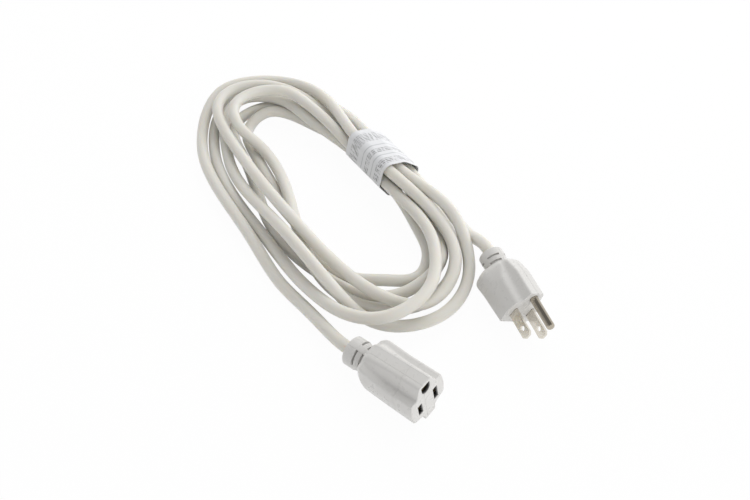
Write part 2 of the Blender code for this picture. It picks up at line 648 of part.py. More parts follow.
def cut_wire_room(shell, outline, places, length, axis, parent):
    """Cut the room behind a block, narrowing to the bore that holds the jacket."""
    x_front, x_wires, x_jacket = places
    narrow = CORD_RADIUS - SEAT_GAP
    around = []
    for y, z in outline:
        angle = atan2(z - axis, y)
        around.append((narrow * cos(angle), axis + narrow * sin(angle)))
    bm = bmesh.new()
    sections = []
    for x, points in ((x_front, outline), (x_wires, outline), (x_jacket, around)):
        sections.append([(x, y, z) for y, z in points])
    loft(bm, sections)
    boolean(shell, add_mesh(shell.name + "_room", bm, parent))
    bm = bmesh.new()
    prism(bm, round_outline(0, axis, JACKET_BORE, 24), x_jacket + SEAT_GAP, -length - SEAT_GAP)
    boolean(shell, add_mesh(shell.name + "_bore", bm, parent))


# Side of each terminal seen from in front of the plug's face, and its place in the cord.
TERMINALS = {"line": (1, radians(330)), "neutral": (-1, radians(210)), "ground": (0, radians(90))}


def terminal_place(kind, side=1):
    """Where a blade, pin or contact lies, as (y, z). The connector's side is -1."""
    if kind == "ground":
        return (0.0, GROUND_OFFSET)
    return (side * TERMINALS[kind][0] * BLADE_SPACING / 2, 0.0)


def add_crimp(piece, place, x_front, parent):
    """Join a tail and an open crimp barrel to the back of a terminal."""
    y, z = place
    x_barrel = x_front - TAIL_LENGTH
    ring = arc_band(y, z, CRIMP_BORE, CRIMP_RADIUS, radians(90) + CRIMP_OPENING / 2,
                    2 * pi - CRIMP_OPENING, 13)
    bm = bmesh.new()
    prism(bm, ring, x_barrel, x_barrel - CRIMP_LENGTH)
    boolean(piece, add_mesh(piece.name + "_barrel", bm, parent), "UNION")
    tail = box_outline(y, z - CRIMP_BORE - CRIMP_WALL / 2, TAIL_WIDTH, CRIMP_WALL)
    bm = bmesh.new()
    prism(bm, tail, x_front + CRIMP_OVERLAP, x_barrel - CRIMP_OVERLAP)
    boolean(piece, add_mesh(piece.name + "_tail", bm, parent), "UNION")


def conductor(piece, kind, side, barrel, jacket, axis, parent, looks):
    """One insulated conductor and its bare strand end, from the jacket to the crimp."""
    y, z = terminal_place(kind, side)
    x_strip = -barrel - CRIMP_LENGTH - SEAT_GAP
    bm = bmesh.new()
    prism(bm, round_outline(y, z, STRAND_DIAMETER / 2, 10), -barrel + STRAND_SHOWN, x_strip)
    add_mesh(f"{piece}_{kind}_strands", bm, parent, looks["copper"])
    angle = TERMINALS[kind][1]
    y_jacket = side * WIRE_TRIAD * cos(angle)
    z_jacket = axis + WIRE_TRIAD * sin(angle)
    x_front = x_strip - SEAT_GAP
    x_back = -jacket + SEAT_GAP
    bm = bmesh.new()
    sections = []
    for x, middle_y, middle_z in ((x_front, y, z), (x_front - WIRE_STRAIGHT, y, z),
                                  (x_back + WIRE_STRAIGHT, y_jacket, z_jacket),
                                  (x_back, y_jacket, z_jacket)):
        ring = round_outline(middle_y, middle_z, WIRE_DIAMETER / 2, 10)
        sections.append([(x, a, b) for a, b in ring])
    loft(bm, sections)
    add_mesh(f"{piece}_{kind}_wire", bm, parent, looks[kind])


# ---------------------------------------------------------------- plug

def blade(name, y, x_back, parent, look):
    """A flat blade with a hole, chamfered at its tip, and its crimp."""
    half = BLADE_WIDTH / 2
    tip = BLADE_LENGTH
    corner = BLADE_CHAMFER
    outline = [(x_back, -half), (tip - corner, -half), (tip, corner - half),
               (tip, half - corner), (tip - corner, half), (x_back, half)]
    bm = bmesh.new()
    loft(bm, [[(x, y + side * BLADE_THICKNESS / 2, z) for x, z in outline] for side in (-1, 1)])
    made = add_mesh(name, bm, parent, look)
    hole = round_outline(tip - BLADE_HOLE_PLACE, 0, BLADE_HOLE / 2)
    bm = bmesh.new()
    loft(bm, [[(x, y + side * BLADE_THICKNESS, z) for x, z in hole] for side in (-1, 1)])
    boolean(made, add_mesh(name + "_hole", bm, parent))
    add_crimp(made, (y, 0.0), x_back, parent)


def ground_pin(x_back, parent, look):
    """The round pin with its rounded end and its thin shank."""
    radius = PIN_DIAMETER / 2
    shoulder = -PLUG_BLOCK_FRONT + SEAT_GAP
    profile = [(x_back, PIN_SHANK / 2), (shoulder, PIN_SHANK / 2), (shoulder, radius)]
    for step in range(5):
        angle = pi / 2 * step / 4
        profile.append((PIN_LENGTH - PIN_ROUNDING * (1 - sin(angle)),
                        radius - PIN_ROUNDING * (1 - cos(angle))))
    bm = bmesh.new()
    loft(bm, [[(x, y, z) for y, z in round_outline(0, GROUND_OFFSET, r)] for x, r in profile])
    made = add_mesh("ground_pin", bm, parent, look)
    add_crimp(made, (0.0, GROUND_OFFSET), x_back, parent)


def plug_block_outline(grow=0.0):
    """Outline of the hard block that holds the blades and the pin."""
    around = SEAT_GAP + PLUG_BLOCK_WALL
    top = GROUND_OFFSET + max(PIN_SHANK / 2 + SEAT_GAP + PLUG_BLOCK_CROWN, CRIMP_RADIUS)
    return lobed_outline(BLADE_SPACING / 2 + BLADE_THICKNESS / 2 + around, BLADE_WIDTH / 2 + around,
                         PIN_SHANK / 2 + around, top, grow)


def build_plug(frame, looks, origin):
    plug = add_object("plug", None, origin)
    plug.matrix_local = frame
    x_block = -PLUG_BLOCK_FRONT - PLUG_BLOCK_LENGTH
    x_back = -PLUG_BARREL + TAIL_LENGTH
    x_room = -PLUG_BLOCK_FRONT + SEAT_GAP

    bm = bmesh.new()
    loft(bm, plug_sections())
    shell = add_mesh("plug_overmould", bm, plug, looks["pvc"])
    x_wires = -PLUG_BARREL - CRIMP_LENGTH - 3 * SEAT_GAP
    cut_wire_room(shell, plug_block_outline(SEAT_GAP), (x_room, x_wires, -PLUG_JACKET),
                  PLUG_LENGTH, PLUG_AXIS, plug)
    boolean(shell, collar_slots("plug_collar_slots", PLUG_LENGTH, PLUG_AXIS, PLUG_COLLAR_WALL,
                                PLUG_COLLAR_RIM, plug))
    bm = bmesh.new()
    prism(bm, plug_block_outline(), -PLUG_BLOCK_FRONT, x_block)
    block = add_mesh("plug_inner_block", bm, plug, looks["nylon"])

    bm = bmesh.new()
    slot = (BLADE_THICKNESS + 2 * SEAT_GAP, BLADE_WIDTH + 2 * SEAT_GAP)
    for y in (-BLADE_SPACING / 2, BLADE_SPACING / 2):
        prism(bm, box_outline(y, 0, *slot), SEAT_GAP, x_block - SEAT_GAP)
    shank_hole = round_outline(0, GROUND_OFFSET, PIN_SHANK / 2 + SEAT_GAP)
    prism(bm, shank_hole, x_room - SEAT_GAP / 2, x_block - SEAT_GAP)
    holes = add_mesh("plug_blade_holes", bm, plug)
    boolean(shell, holes)
    boolean(block, holes)
    bm = bmesh.new()
    prism(bm, round_outline(0, GROUND_OFFSET, PIN_DIAMETER / 2 + SEAT_GAP), SEAT_GAP,
          x_room - SEAT_GAP / 2)
    boolean(shell, add_mesh("plug_pin_hole", bm, plug))

    for kind in ("line", "neutral"):
        blade(f"{kind}_blade", terminal_place(kind)[0], x_back, plug, looks["nickel"])
    ground_pin(x_back, plug, looks["nickel"])
    for kind in TERMINALS:
        conductor("plug", kind, 1, PLUG_BARREL, PLUG_JACKET, PLUG_AXIS, plug, looks)


# ---------------------------------------------------------------- connector

def leaf_contact(name, place, x_front, parent, look):
    """Two leaves either side of where a blade goes, and the crimp."""
    y = place[0]
    inner = LEAF_GAP / 2
    outer = inner + LEAF_THICKNESS
    x_back = x_front - CONTACT_LENGTH
    x_web = x_back + CRIMP_OVERLAP
    outline = [(x_front, y - outer), (x_front, y - inner), (x_web, y - inner), (x_web, y + inner),
               (x_front, y + inner), (x_front, y + outer), (x_back, y + outer), (x_back, y - outer)]
    bm = bmesh.new()
    loft(bm, [[(x, b, z) for x, b in outline] for z in (-BLADE_WIDTH / 2, BLADE_WIDTH / 2)])
    made = add_mesh(name, bm, parent, look)
    add_crimp(made, place, x_back, parent)


def sleeve_contact(place, x_front, parent, look):
    """A split sleeve for the ground pin, a strap behind it and the crimp."""
    y, z = place
    x_back = x_front - CONTACT_LENGTH
    ring = arc_band(y, z, SLEEVE_BORE / 2, SLEEVE_RADIUS, radians(90) + SLEEVE_SLIT / 2,
                    2 * pi - SLEEVE_SLIT, 15)
    bm = bmesh.new()
    prism(bm, ring, x_front, x_back)
    made = add_mesh("connector_ground_contact", bm, parent, look)
    low = z - SLEEVE_RADIUS + SLEEVE_WALL / 2
    high = z - CRIMP_BORE
    strap = box_outline(y, (low + high) / 2, TAIL_WIDTH, high - low)
    bm = bmesh.new()
    prism(bm, strap, x_back + CRIMP_OVERLAP, x_back - SEAT_GAP)
    boolean(made, add_mesh("ground_strap", bm, parent), "UNION")
    add_crimp(made, place, x_back, parent)


def ground_opening():
    """The ground hole: round towards the slots, flat away from them."""
    half = GROUND_HOLE_WIDTH / 2
    flat = GROUND_OFFSET + half
    return round_outline(0, GROUND_OFFSET, half, 9, pi, pi, False) + [(half, flat), (-half, flat)]


def chamber_half_width():
    """Half the width of the chamber that holds a leaf contact and its crimp."""
    return max(CRIMP_RADIUS, LEAF_GAP / 2 + LEAF_THICKNESS) + SEAT_GAP


def core_outline(grow=0.0):
    """Outline of the front block's core, which holds the contacts."""
    lobe = SLEEVE_RADIUS + SEAT_GAP + CORE_WALL
    return lobed_outline(BLADE_SPACING / 2 + chamber_half_width() + CORE_WALL,
                         NEUTRAL_SLOT_LENGTH / 2 + CORE_WALL, lobe, GROUND_OFFSET + lobe, grow)


def cut_front_block(block, x_core, parent):
    """Cut the slots and the ground hole, and the chambers behind them."""
    x_slot = -FRONT_WALL - SEAT_GAP
    bm = bmesh.new()
    for kind, length in (("line", LINE_SLOT_LENGTH), ("neutral", NEUTRAL_SLOT_LENGTH)):
        prism(bm, box_outline(terminal_place(kind, -1)[0], 0, SLOT_WIDTH, length), SEAT_GAP, x_slot)
    prism(bm, ground_opening(), SEAT_GAP, x_slot)
    boolean(block, add_mesh("connector_slots", bm, parent))
    bm = bmesh.new()
    for kind in ("line", "neutral"):
        chamber = box_outline(terminal_place(kind, -1)[0], 0, 2 * chamber_half_width(),
                              NEUTRAL_SLOT_LENGTH)
        prism(bm, chamber, -FRONT_WALL, x_core - SEAT_GAP)
    prism(bm, round_outline(0, GROUND_OFFSET, SLEEVE_RADIUS + SEAT_GAP), -FRONT_WALL,
          x_core - SEAT_GAP)
    boolean(block, add_mesh("connector_chambers", bm, parent))


def build_connector(frame, looks, origin):
    connector = add_object("connector", None, origin)
    connector.matrix_local = frame
    seam = -FRONT_BLOCK_DEPTH
    x_core = seam - CORE_LENGTH
    x_contact = -FRONT_WALL - SEAT_GAP
    sections = connector_sections()
    at_seam = sections[2]

    bm = bmesh.new()
    loft(bm, [[(seam - SEAT_GAP, y, z) for _, y, z in at_seam]] + sections[3:])
    shell = add_mesh("connector_overmould", bm, connector, looks["pvc"])
    x_wires = min(x_core, -CONNECTOR_BARREL - CRIMP_LENGTH) - 3 * SEAT_GAP
    cut_wire_room(shell, core_outline(SEAT_GAP), (seam, x_wires, -CONNECTOR_JACKET),
                  CONNECTOR_LENGTH, CONNECTOR_AXIS, connector)
    boolean(shell, collar_slots("connector_collar_slots", CONNECTOR_LENGTH, CONNECTOR_AXIS,
                                CONNECTOR_COLLAR_WALL, CONNECTOR_COLLAR_RIM, connector))

    bm = bmesh.new()
    loft(bm, sections[:3])
    block = add_mesh("connector_front_block", bm, connector, looks["pvc"])
    bm = bmesh.new()
    prism(bm, core_outline(), seam + SEAT_GAP, x_core)
    boolean(block, add_mesh("connector_core", bm, connector), "UNION")
    cut_front_block(block, x_core, connector)

    for kind in ("line", "neutral"):
        leaf_contact(f"connector_{kind}_contact", terminal_place(kind, -1), x_contact, connector,
                     looks["brass"])
    sleeve_contact(terminal_place("ground"), x_contact, connector, looks["brass"])
    for kind in TERMINALS:
        conductor("connector", kind, -1, CONNECTOR_BARREL, CONNECTOR_JACKET, CONNECTOR_AXIS,
                  connector, looks)


# ---------------------------------------------------------------- whole cord

def main():
    for old in list(bpy.data.objects):
        bpy.data.objects.remove(old, do_unlink=True)

    looks = {
        "jacket": material("white_jacket", (0.71, 0.70, 0.66), 0.42),
        "pvc": material("white_moulding", (0.77, 0.76, 0.74), 0.36),
        "nylon": material("natural_nylon", (0.78, 0.74, 0.62), 0.5),
        "nickel": material("nickel_plating", (0.66, 0.62, 0.55), 0.25, 1.0),
        "brass": material("contact_brass", (0.72, 0.56, 0.25), 0.3, 1.0),
        "copper": material("bare_copper", (0.72, 0.38, 0.22), 0.35, 1.0),
        "line": material("black_insulation", (0.03, 0.03, 0.03), 0.45),
        "neutral": material("white_insulation", (0.75, 0.75, 0.73), 0.45),
        "ground": material("green_insulation", (0.05, 0.28, 0.08), 0.45),
        "paper": material("label_paper", (0.78, 0.79, 0.80), 0.65),
    }

    plug_frame = moulding_frame(PLUG_FACE, (PLUG_YAW, PLUG_ROLL, PLUG_PITCH), plug_sections())
    connector_frame = moulding_frame(
        CONNECTOR_FACE, (CONNECTOR_YAW, CONNECTOR_ROLL, CONNECTOR_PITCH), connector_sections())

    hank = add_object("hank", None)
    hank.location = (*HANK_OFFSET, 0.0)
    route = cord_route(plug_frame, connector_frame)
    first, second = far_pairs(len(route))
    least = run_distances(route, first, second)[3].min() - CORD_DIAMETER
    length = np.linalg.norm(np.diff(route, axis=0), axis=1).sum()
    print(f"cord: length {length:.3f} m, least gap to itself {least / MM:.2f} mm")

    build_cord(route, hank, looks["jacket"])
    build_wrap(route, hank, looks["paper"])
    build_plug(plug_frame, looks, hank)
    build_connector(connector_frame, looks, hank)


main()
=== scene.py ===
"""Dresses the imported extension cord: one unbroken cord, its mouldings, blades and paper wrap."""
import json
from math import atan2, cos, hypot, pi, radians, sin, sqrt

import bmesh
import bpy
import numpy as np
from mathutils import Matrix, Vector

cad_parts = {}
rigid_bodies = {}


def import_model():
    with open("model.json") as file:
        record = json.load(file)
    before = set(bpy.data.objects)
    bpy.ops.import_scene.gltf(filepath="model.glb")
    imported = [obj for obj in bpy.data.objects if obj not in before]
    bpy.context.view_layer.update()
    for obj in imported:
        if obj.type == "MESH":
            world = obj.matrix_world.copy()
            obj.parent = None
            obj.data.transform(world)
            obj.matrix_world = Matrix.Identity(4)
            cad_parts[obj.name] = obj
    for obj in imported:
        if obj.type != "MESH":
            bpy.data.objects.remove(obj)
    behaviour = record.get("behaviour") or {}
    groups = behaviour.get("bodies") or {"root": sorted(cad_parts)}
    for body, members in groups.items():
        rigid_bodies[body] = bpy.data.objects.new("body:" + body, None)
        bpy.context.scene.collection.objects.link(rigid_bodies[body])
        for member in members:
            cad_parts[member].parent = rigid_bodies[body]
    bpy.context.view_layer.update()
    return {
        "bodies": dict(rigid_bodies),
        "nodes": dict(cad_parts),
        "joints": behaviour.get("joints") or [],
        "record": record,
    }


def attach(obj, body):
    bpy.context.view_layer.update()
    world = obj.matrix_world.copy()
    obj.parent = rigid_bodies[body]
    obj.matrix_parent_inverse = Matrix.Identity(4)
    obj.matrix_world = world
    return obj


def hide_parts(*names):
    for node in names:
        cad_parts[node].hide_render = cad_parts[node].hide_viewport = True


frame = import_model()

MM = 0.001

# ==== Sizes and route, repeated from the part's source ====

# ---- Clearances ----
SEAT_GAP = 0.3 * MM            # between pieces that touch
TURN_GAP = 0.45 * MM           # between two turns of the cord

# ---- Cord ----
WIRE_DIAMETER = 2.4 * MM       # one insulated conductor
STRAND_DIAMETER = 1.4 * MM     # its bare copper end
JACKET_WALL = 0.77 * MM        # vinyl outside the three conductors
CORD_STEP = 20.5 * MM          # between points of the route: 24 in a turn
TIGHTEST_BEND = 22.0 * MM      # radius of the cord's axis

# ---- Blades and pin of the grounded plug pattern ----
BLADE_SPACING = 12.7 * MM
BLADE_WIDTH = 6.35 * MM
BLADE_THICKNESS = 1.52 * MM
GROUND_OFFSET = 11.9 * MM      # pin axis above the line of the blades
PIN_DIAMETER = 4.8 * MM
PIN_SHANK = 2.8 * MM           # the pin is thinner inside the plug

# ---- Crimps ----
CRIMP_WALL = 0.6 * MM
CRIMP_LENGTH = 4.5 * MM
TAIL_LENGTH = 2.0 * MM
CRIMP_OVERLAP = 1.0 * MM       # tail inside the piece it belongs to

# ---- Both mouldings ----
FACE_ROUNDING = 0.6 * MM
COLLAR_NECK_WALL = 3.2 * MM
COLLAR_ROUNDING = 0.9 * MM
COLLAR_SLOT_WIDTH = 1.2 * MM
COLLAR_SLOT_FLOOR = 1.9 * MM   # vinyl between a slot and the jacket
COLLAR_SLOT_ARC = radians(62)
COLLAR_SLOT_PITCH = 3.9 * MM
COLLAR_SLOTS_ROUND = 4
LOBE_CHAMFER = 1.2 * MM        # on the ground lobe of the inner blocks

# ---- Plug ----
PLUG_LENGTH = 42.5 * MM
PLUG_AXIS = 1.5 * MM           # cord's axis above the line of the blades
PLUG_SIDE = 5.65 * MM          # vinyl outside the middle of a blade
PLUG_CROWN = 1.4 * MM          # vinyl over the pin
PLUG_FOOT = 5.1 * MM           # vinyl under the edge of a blade
PLUG_COLLAR_LENGTH = 11.5 * MM
PLUG_COLLAR_WALL = 3.8 * MM    # at the rim
PLUG_COLLAR_RIM = 4.6 * MM     # unslotted end of the collar
PLUG_BLOCK_FRONT = 2.0 * MM
PLUG_BLOCK_LENGTH = 10.5 * MM
PLUG_BLOCK_WALL = 1.5 * MM
PLUG_BLOCK_CROWN = 0.2 * MM
PLUG_WIRE_RUN = 9.6 * MM       # conductor between its crimp and the jacket
PLUG_YAW = radians(-13.2)
PLUG_ROLL = radians(-28.6)
PLUG_PITCH = radians(-3.8)
PLUG_FACE = (134.2 * MM, 42.9 * MM)         # blade line on the face, in the hank's frame

# ---- Connector ----
CONNECTOR_LENGTH = 52.2 * MM
CONNECTOR_AXIS = 3.0 * MM      # cord's axis above the line of the slots
CONNECTOR_SIDE = 7.45 * MM     # vinyl outside the middle of a slot
CONNECTOR_CROWN = 2.15 * MM    # vinyl over the sleeve for the pin
CONNECTOR_FOOT = 9.1 * MM      # vinyl under the end of a slot
CONNECTOR_COLLAR_LENGTH = 13.7 * MM
CONNECTOR_COLLAR_WALL = 5.0 * MM
CONNECTOR_COLLAR_RIM = 6.3 * MM
FRONT_BLOCK_DEPTH = 12.0 * MM  # face to parting line
CORE_LENGTH = 12.0 * MM        # front block's core inside the overmould
CORE_WALL = 0.9 * MM
FRONT_WALL = 1.7 * MM
CONNECTOR_YAW = radians(15.1)
CONNECTOR_ROLL = radians(6.2)
CONNECTOR_PITCH = radians(5.3)  # its foot slopes, so the face leans back when it lies on it
CONNECTOR_FACE = (151.6 * MM, -36.0 * MM)
SLOT_WIDTH = 2.3 * MM
LINE_SLOT_LENGTH = 6.9 * MM
NEUTRAL_SLOT_LENGTH = 8.4 * MM
GROUND_HOLE_WIDTH = 5.4 * MM
LEAF_THICKNESS = 0.5 * MM
LEAF_GAP = 1.5 * MM
CONTACT_LENGTH = 15.0 * MM
SLEEVE_WALL = 0.5 * MM
SLEEVE_BORE = 4.9 * MM
CONNECTOR_WIRE_RUN = 13.0 * MM

# ---- Paper wrap ----
WRAP_LENGTH = 39.0 * MM
WRAP_THICKNESS = 0.2 * MM
WRAP_LAP = 9.0 * MM
WRAP_CENTRE_X = -12.0 * MM
WRAP_ROOM = 0.5 * MM           # between the cords and the paper
WRAP_REST = 0.1 * MM           # between the paper and the surface

# ---- Where the hank's frame lies in the part's frame ----
HANK_OFFSET = (-7.17 * MM, -3.58 * MM)

# ---- Worked out from the sizes above ----
WIRE_TRIAD = (WIRE_DIAMETER + 2 * SEAT_GAP) / sqrt(3)   # each conductor from the cord's axis
CORD_RADIUS = WIRE_TRIAD + WIRE_DIAMETER / 2 + JACKET_WALL
CORD_DIAMETER = 2 * CORD_RADIUS
JACKET_BORE = CORD_RADIUS + 1.2 * SEAT_GAP
CRIMP_BORE = STRAND_DIAMETER / 2 + SEAT_GAP
CRIMP_RADIUS = CRIMP_BORE + CRIMP_WALL
SLEEVE_RADIUS = SLEEVE_BORE / 2 + SLEEVE_WALL
PLUG_BARREL = PLUG_BLOCK_FRONT + PLUG_BLOCK_LENGTH + SEAT_GAP + CRIMP_OVERLAP + TAIL_LENGTH
PLUG_JACKET = PLUG_BARREL + CRIMP_LENGTH + PLUG_WIRE_RUN + 3 * SEAT_GAP   # behind the face
CONNECTOR_BARREL = FRONT_WALL + SEAT_GAP + CONTACT_LENGTH + TAIL_LENGTH
CONNECTOR_JACKET = CONNECTOR_BARREL + CRIMP_LENGTH + CONNECTOR_WIRE_RUN + 3 * SEAT_GAP
PITCH = CORD_DIAMETER + TURN_GAP
LAYER = PITCH * sin(radians(60))
WRAP_LIFT = WRAP_ROOM + WRAP_THICKNESS + WRAP_REST   # cords in the wrap lie this much higher

# The outermost turn passes thirteen stations: place in the hank's frame in mm, way inwards.
STATIONS = (
    ((-32, 56.5), (0.0, -1.0)),  # 0 wrap, left end
    ((-85, 54.5), (0.1, -1.0)),  # 1 upper left
    ((-122, 35), (0.7, -0.7)),   # 2 left end, high
    ((-137, 0), (1.0, 0.0)),     # 3 left end
    ((-120, -27), (0.6, 0.8)),   # 4 left end, low
    ((-85, -43), (0.15, 1.0)),   # 5 lower left
    ((0, -50.5), (0.0, 1.0)),    # 6 bottom
    ((60, -48), (0.0, 1.0)),     # 7 lower right
    ((92, -30), (-0.7, 0.7)),    # 8 right end, low
    ((103.5, 8), (-1.0, 0.0)),   # 9 right end
    ((90, 44), (-0.7, -0.7)),    # 10 right end, high
    ((55, 61), (-0.1, -1.0)),    # 11 upper right
    ((8, 57.5), (0.0, -1.0)),    # 12 wrap, right end
)

WRAP_LEFT = 0                  # numbers of the stations at the wrap's ends
WRAP_RIGHT = len(STATIONS) - 1

# Seven cords lie in the wrap, in rows of two, three and two: (lane inwards, layer).
WRAP_PLACES = {
    "low_outer": (0.5, 0), "low_inner": (1.5, 0),
    "mid_outer": (0, 1), "mid_middle": (1, 1), "mid_inner": (2, 1),
    "top_outer": (0.5, 2), "top_inner": (1.5, 2),
}

# Each turn leaves the wrap at one place, passes stations 1 to 11 in its lane (in cord pitches
# inside the outermost turn) and layer (0 lies on the surface), and comes back at another place.
TURNS = (
    ("mid_outer", (1.85, 2, 3, 2.8, 3.35, 1.4, 2.25, 2.15, 2.2, 2.45, 2.5),
     (0, 0, 0, 0, 0, 0, 0, 0.3, 0.8, 0.9, 0), "low_outer"),
    ("low_outer", (2.4, 3, 4.4, 3.8, 3.7, 3.3, 3.9, 4.05, 3.15, 3.2, 3.15),
     (0, 0.6, 0.3, 0, 0, 0, 0, 0.3, 0, 0, 0), "low_inner"),
    ("low_inner", (2.8, 1.8, 2.1, 2.4, 2.35, 2.4, 2.7, 2.2, 0.3, -0.15, -0.1),
     (0.7, 0.4, 0.7, 0.6, 0.2, 2.4, 1.6, 0, 0.3, 0.3, 1.75), "top_outer"),
    ("top_outer", (-0.4, -0.95, 0.25, 1.05, 1.15, 1.1, 0.95, 0.5, 1.4, 2.75, 2.7),
     (0.4, 0, 0, 0, 0, 0, 0.7, 1.2, 1.1, 1, 1), "mid_inner"),
    ("mid_inner", (2.5, 2.2, 2.6, 2.2, 3.8, 2.7, 2.05, 2.4, 2.05, 2, 1.65),
     (2, 2.3, 2.1, 2, 1, 0.95, 0, 0, 0, 0.3, 0.5), "mid_middle"),
    ("mid_middle", (1.1, 0.65, 1.25, 2.15, 3.2, 3.3, 3.85, 3.05, 1.15, 1.05, 1.3),
     (1, 1, 1.1, 1.1, 0.7, 1.9, 1.1, 1, 0.3, 0.6, 0.9), "top_inner"),
)
# The last half turn leaves the wrap for the connector and passes stations 1 to 6.
LAST_TURN = ("top_inner", (0.65, 0.25, 0.5, 0.8, 0.5, 0), (1.4, 0.8, 0.8, 0.3, 0.3, 0.3))

# The two leads in mm, chosen in the hank's frame, each between the hank and a moulding.
PLUG_LEAD = ((76.0, 56.0, 11.5), (66.0, 59.0, 8.0), (54.0, 61.8, 5.2), (40.0, 61.5, 4.8),
             (24.0, 59.0, 8.0))
CONNECTOR_LEAD = ((30.0, -54.0, 3.7), (53.0, -53.2, 4.2), (74.0, -52.6, 7.4))

ROUTE_SAMPLES = 6000           # on the curve through all chosen points

# Settling pushes the turns apart in steps. Early ones also sink the cord into free space.
SETTLE_STEPS = 800
EARLY_STEPS = SETTLE_STEPS * 0.4
MIDDLE_STEPS = SETTLE_STEPS * 0.7
BENDING_STEPS = SETTLE_STEPS * 0.8   # those that open tight bends
EARLY_SPREAD = 0.5             # of a push that its neighbours along the cord share
MIDDLE_SPREAD = 0.15
SINK_STEP = 0.2 * MM
NEAR_PITCHES = 1.6             # runs closer than this are watched
RENEW_STEPS = 10               # between searches for such runs
HELD_POINTS = 3                # at each end, held in the mouldings

# Corners of half an outline from the top down, with the ground lobe up: y in shares of the half
# width, z in shares of the height over the blade line, or of the depth under it. Each moulding
# has an outline at its face, one along its body and one before its collar.
CONNECTOR_OUTLINES = (
    ((0.362, 1), (0.543, 0.584), (0.899, 0.572), (1, 0.087), (0.92, -0.474), (0.464, -0.609),
     (0.341, -0.692), (0.297, -1)),
    ((0.366, 0.994), (0.543, 0.613), (0.906, 0.601), (0.986, 0.116), (0.899, -0.406),
     (0.522, -0.594), (0.377, -0.662), (0.293, -0.865)),
    ((0.37, 0.983), (0.551, 0.821), (0.87, 0.786), (0.971, 0.231), (0.87, -0.346), (0.58, -0.594),
     (0.435, -0.669), (0.29, -0.767)),
)
CONNECTOR_CORNERS = [size * MM for size in (1.6, 1.2, 1.5, 3.0, 1.5, 0.6, 0.6, 1.0)]
PLUG_OUTLINES = (
    ((0.425, 1), (0.55, 0.619), (0.867, 0.487), (1, 0.031), (0.892, -1)),
    ((0.425, 0.987), (0.55, 0.662), (0.933, 0.544), (1.1, 0.016), (1.013, -1.023)),
    ((0.425, 0.875), (0.55, 0.675), (0.69, 0.625), (1.2, 0), (1.133, -1.047)),
)
PLUG_CORNERS = [size * MM for size in (1.2, 1.5, 1.5, 2.5, 1.2)]
# Sections of a body from the face (0) to the collar (1), and on the connector from the parting
# line: (place, outline, scale about the cord's axis). Outline 0.5 is midway between the first two.
PLUG_BODY = ((0.317, 0.55, 1), (0.571, 1, 1), (0.698, 1.5, 1), (0.825, 2, 1), (0.905, 2, 0.95),
             (0.96, 2, 0.86), (0.99, 2, 0.74))
CONNECTOR_BODY = ((0, 0.6, 1), (0.3, 1, 1), (0.6, 1.57, 1), (0.83, 2, 1), (0.925, 2, 0.94),
                  (0.98, 2, 0.82))
FACE_SCALE = 0.965

# ==== Camera, as fitted to the photograph ====
CAMERA_PLACE = (340.20 * MM, -208.08 * MM, 416.71 * MM)
CAMERA_TARGET = (32.20 * MM, 4.26 * MM, 0.0)
CAMERA_LENS = 43.653
SENSOR_WIDTH = 36

# ==== Fine surface ====
CORNER_STEPS = 6
SIDE_SHARES = (0, 0.1, 0.5, 0.9)
BODY_STEPS = 44                # sections along a body
BODY_SMOOTHING = 5             # sections that each one is averaged over
FACE_STEPS = 4
COLLAR_STEPS = 5
FACE_SEAT = 0.03               # place of a body's first section behind the rounded face
ROUND_SIDES = 40
HOLE_POINTS = 9                # on the round half of the ground hole
SLOT_POINTS = 16               # on each arc of a slot in a collar
SHARP_ANGLE = radians(34)      # edges above it are shaded sharp
CORD_FINENESS = 8              # points of the drawn cord to one of its route
RIM_CHAMFER = 0.7 * MM         # round the connector's openings
BLADE_CHAMFER = 0.2 * MM
SEAM_GAP = 0.04 * MM           # between the connector's two mouldings
SEAM_SHARES = (0.45, 0.72)     # thin lines round the paper wrap
SEAM_DEPTH = 0.12 * MM
SEAM_HALF_WIDTH = 0.014        # share of the wrap's length
PRINT_ZONES = ((0.07, 0.36), (0.52, 0.66), (0.79, 0.95))   # shares with rows of plain dashes
ROW_RATE = 2 * pi / (1.5 * MM)  # a row each 1.5 mm
WRAP_STEPS = 150
WRAP_START = radians(200)      # where the strip begins, underneath
WRAP_RAMP = 0.6                # radians over which the lap climbs on the strip's beginning
WRAP_HUG = 0.12                # 1 for a round top, 0 for paper drawn tight over the cords
WRAP_WAVE = 0.10 * MM          # gentle unevenness of the paper

# Lines of the mould: (axis they lie across, place on it, width, height). A groove is negative, and
# is tinted darker as painted shade.
LINE_WIDTH = 0.35 * MM
PLUG_LINES = ((1, 0.0, LINE_WIDTH, -0.12 * MM),)
CONNECTOR_LINES = ((1, 3.7 * MM, LINE_WIDTH, 0.08 * MM), (1, -2.1 * MM, LINE_WIDTH, -0.08 * MM),
                   (0, -FRONT_BLOCK_DEPTH, 0.5 * MM, 0.08 * MM))
# Openings of the connector's face with painted shade inside: (y, z, radius of the painted shade).
SHADE_PAINTED_OPENINGS = ((-BLADE_SPACING / 2, 0.0, 5.2 * MM), (BLADE_SPACING / 2, 0.0, 5.2 * MM),
                 (0.0, GROUND_OFFSET, 4.0 * MM))

# ==== Light, as matched to the photograph ====
WHITE_SHARE = 0.96             # of the floor's own white, where the camera or a reflection sees it
HORIZON_LIGHT = 1.95           # of the white tent round the cord
OVERHEAD_LIGHT = 0.64
DIM_SIDE = Vector((-0.2, -0.75, 0.6))        # direction from which it gives the least light
DIM_LIGHT = 0.38               # share of its other light that it gives there
TENT_OPENING = Vector((-0.5, -0.12, 0.85))   # direction in which reflections show it open
OPENING_LIGHT = 0.2            # strength that they show there
KEY_PLACE = (-0.35, 0.55, 0.85)
KEY_SIZE = 0.8
KEY_POWER = 4.5
# Black of the wrap's print, also used as painted shade inside the connector's openings.
INK_AND_PAINTED_SHADE = (0.012, 0.012, 0.012)


# ==== Meshes ====

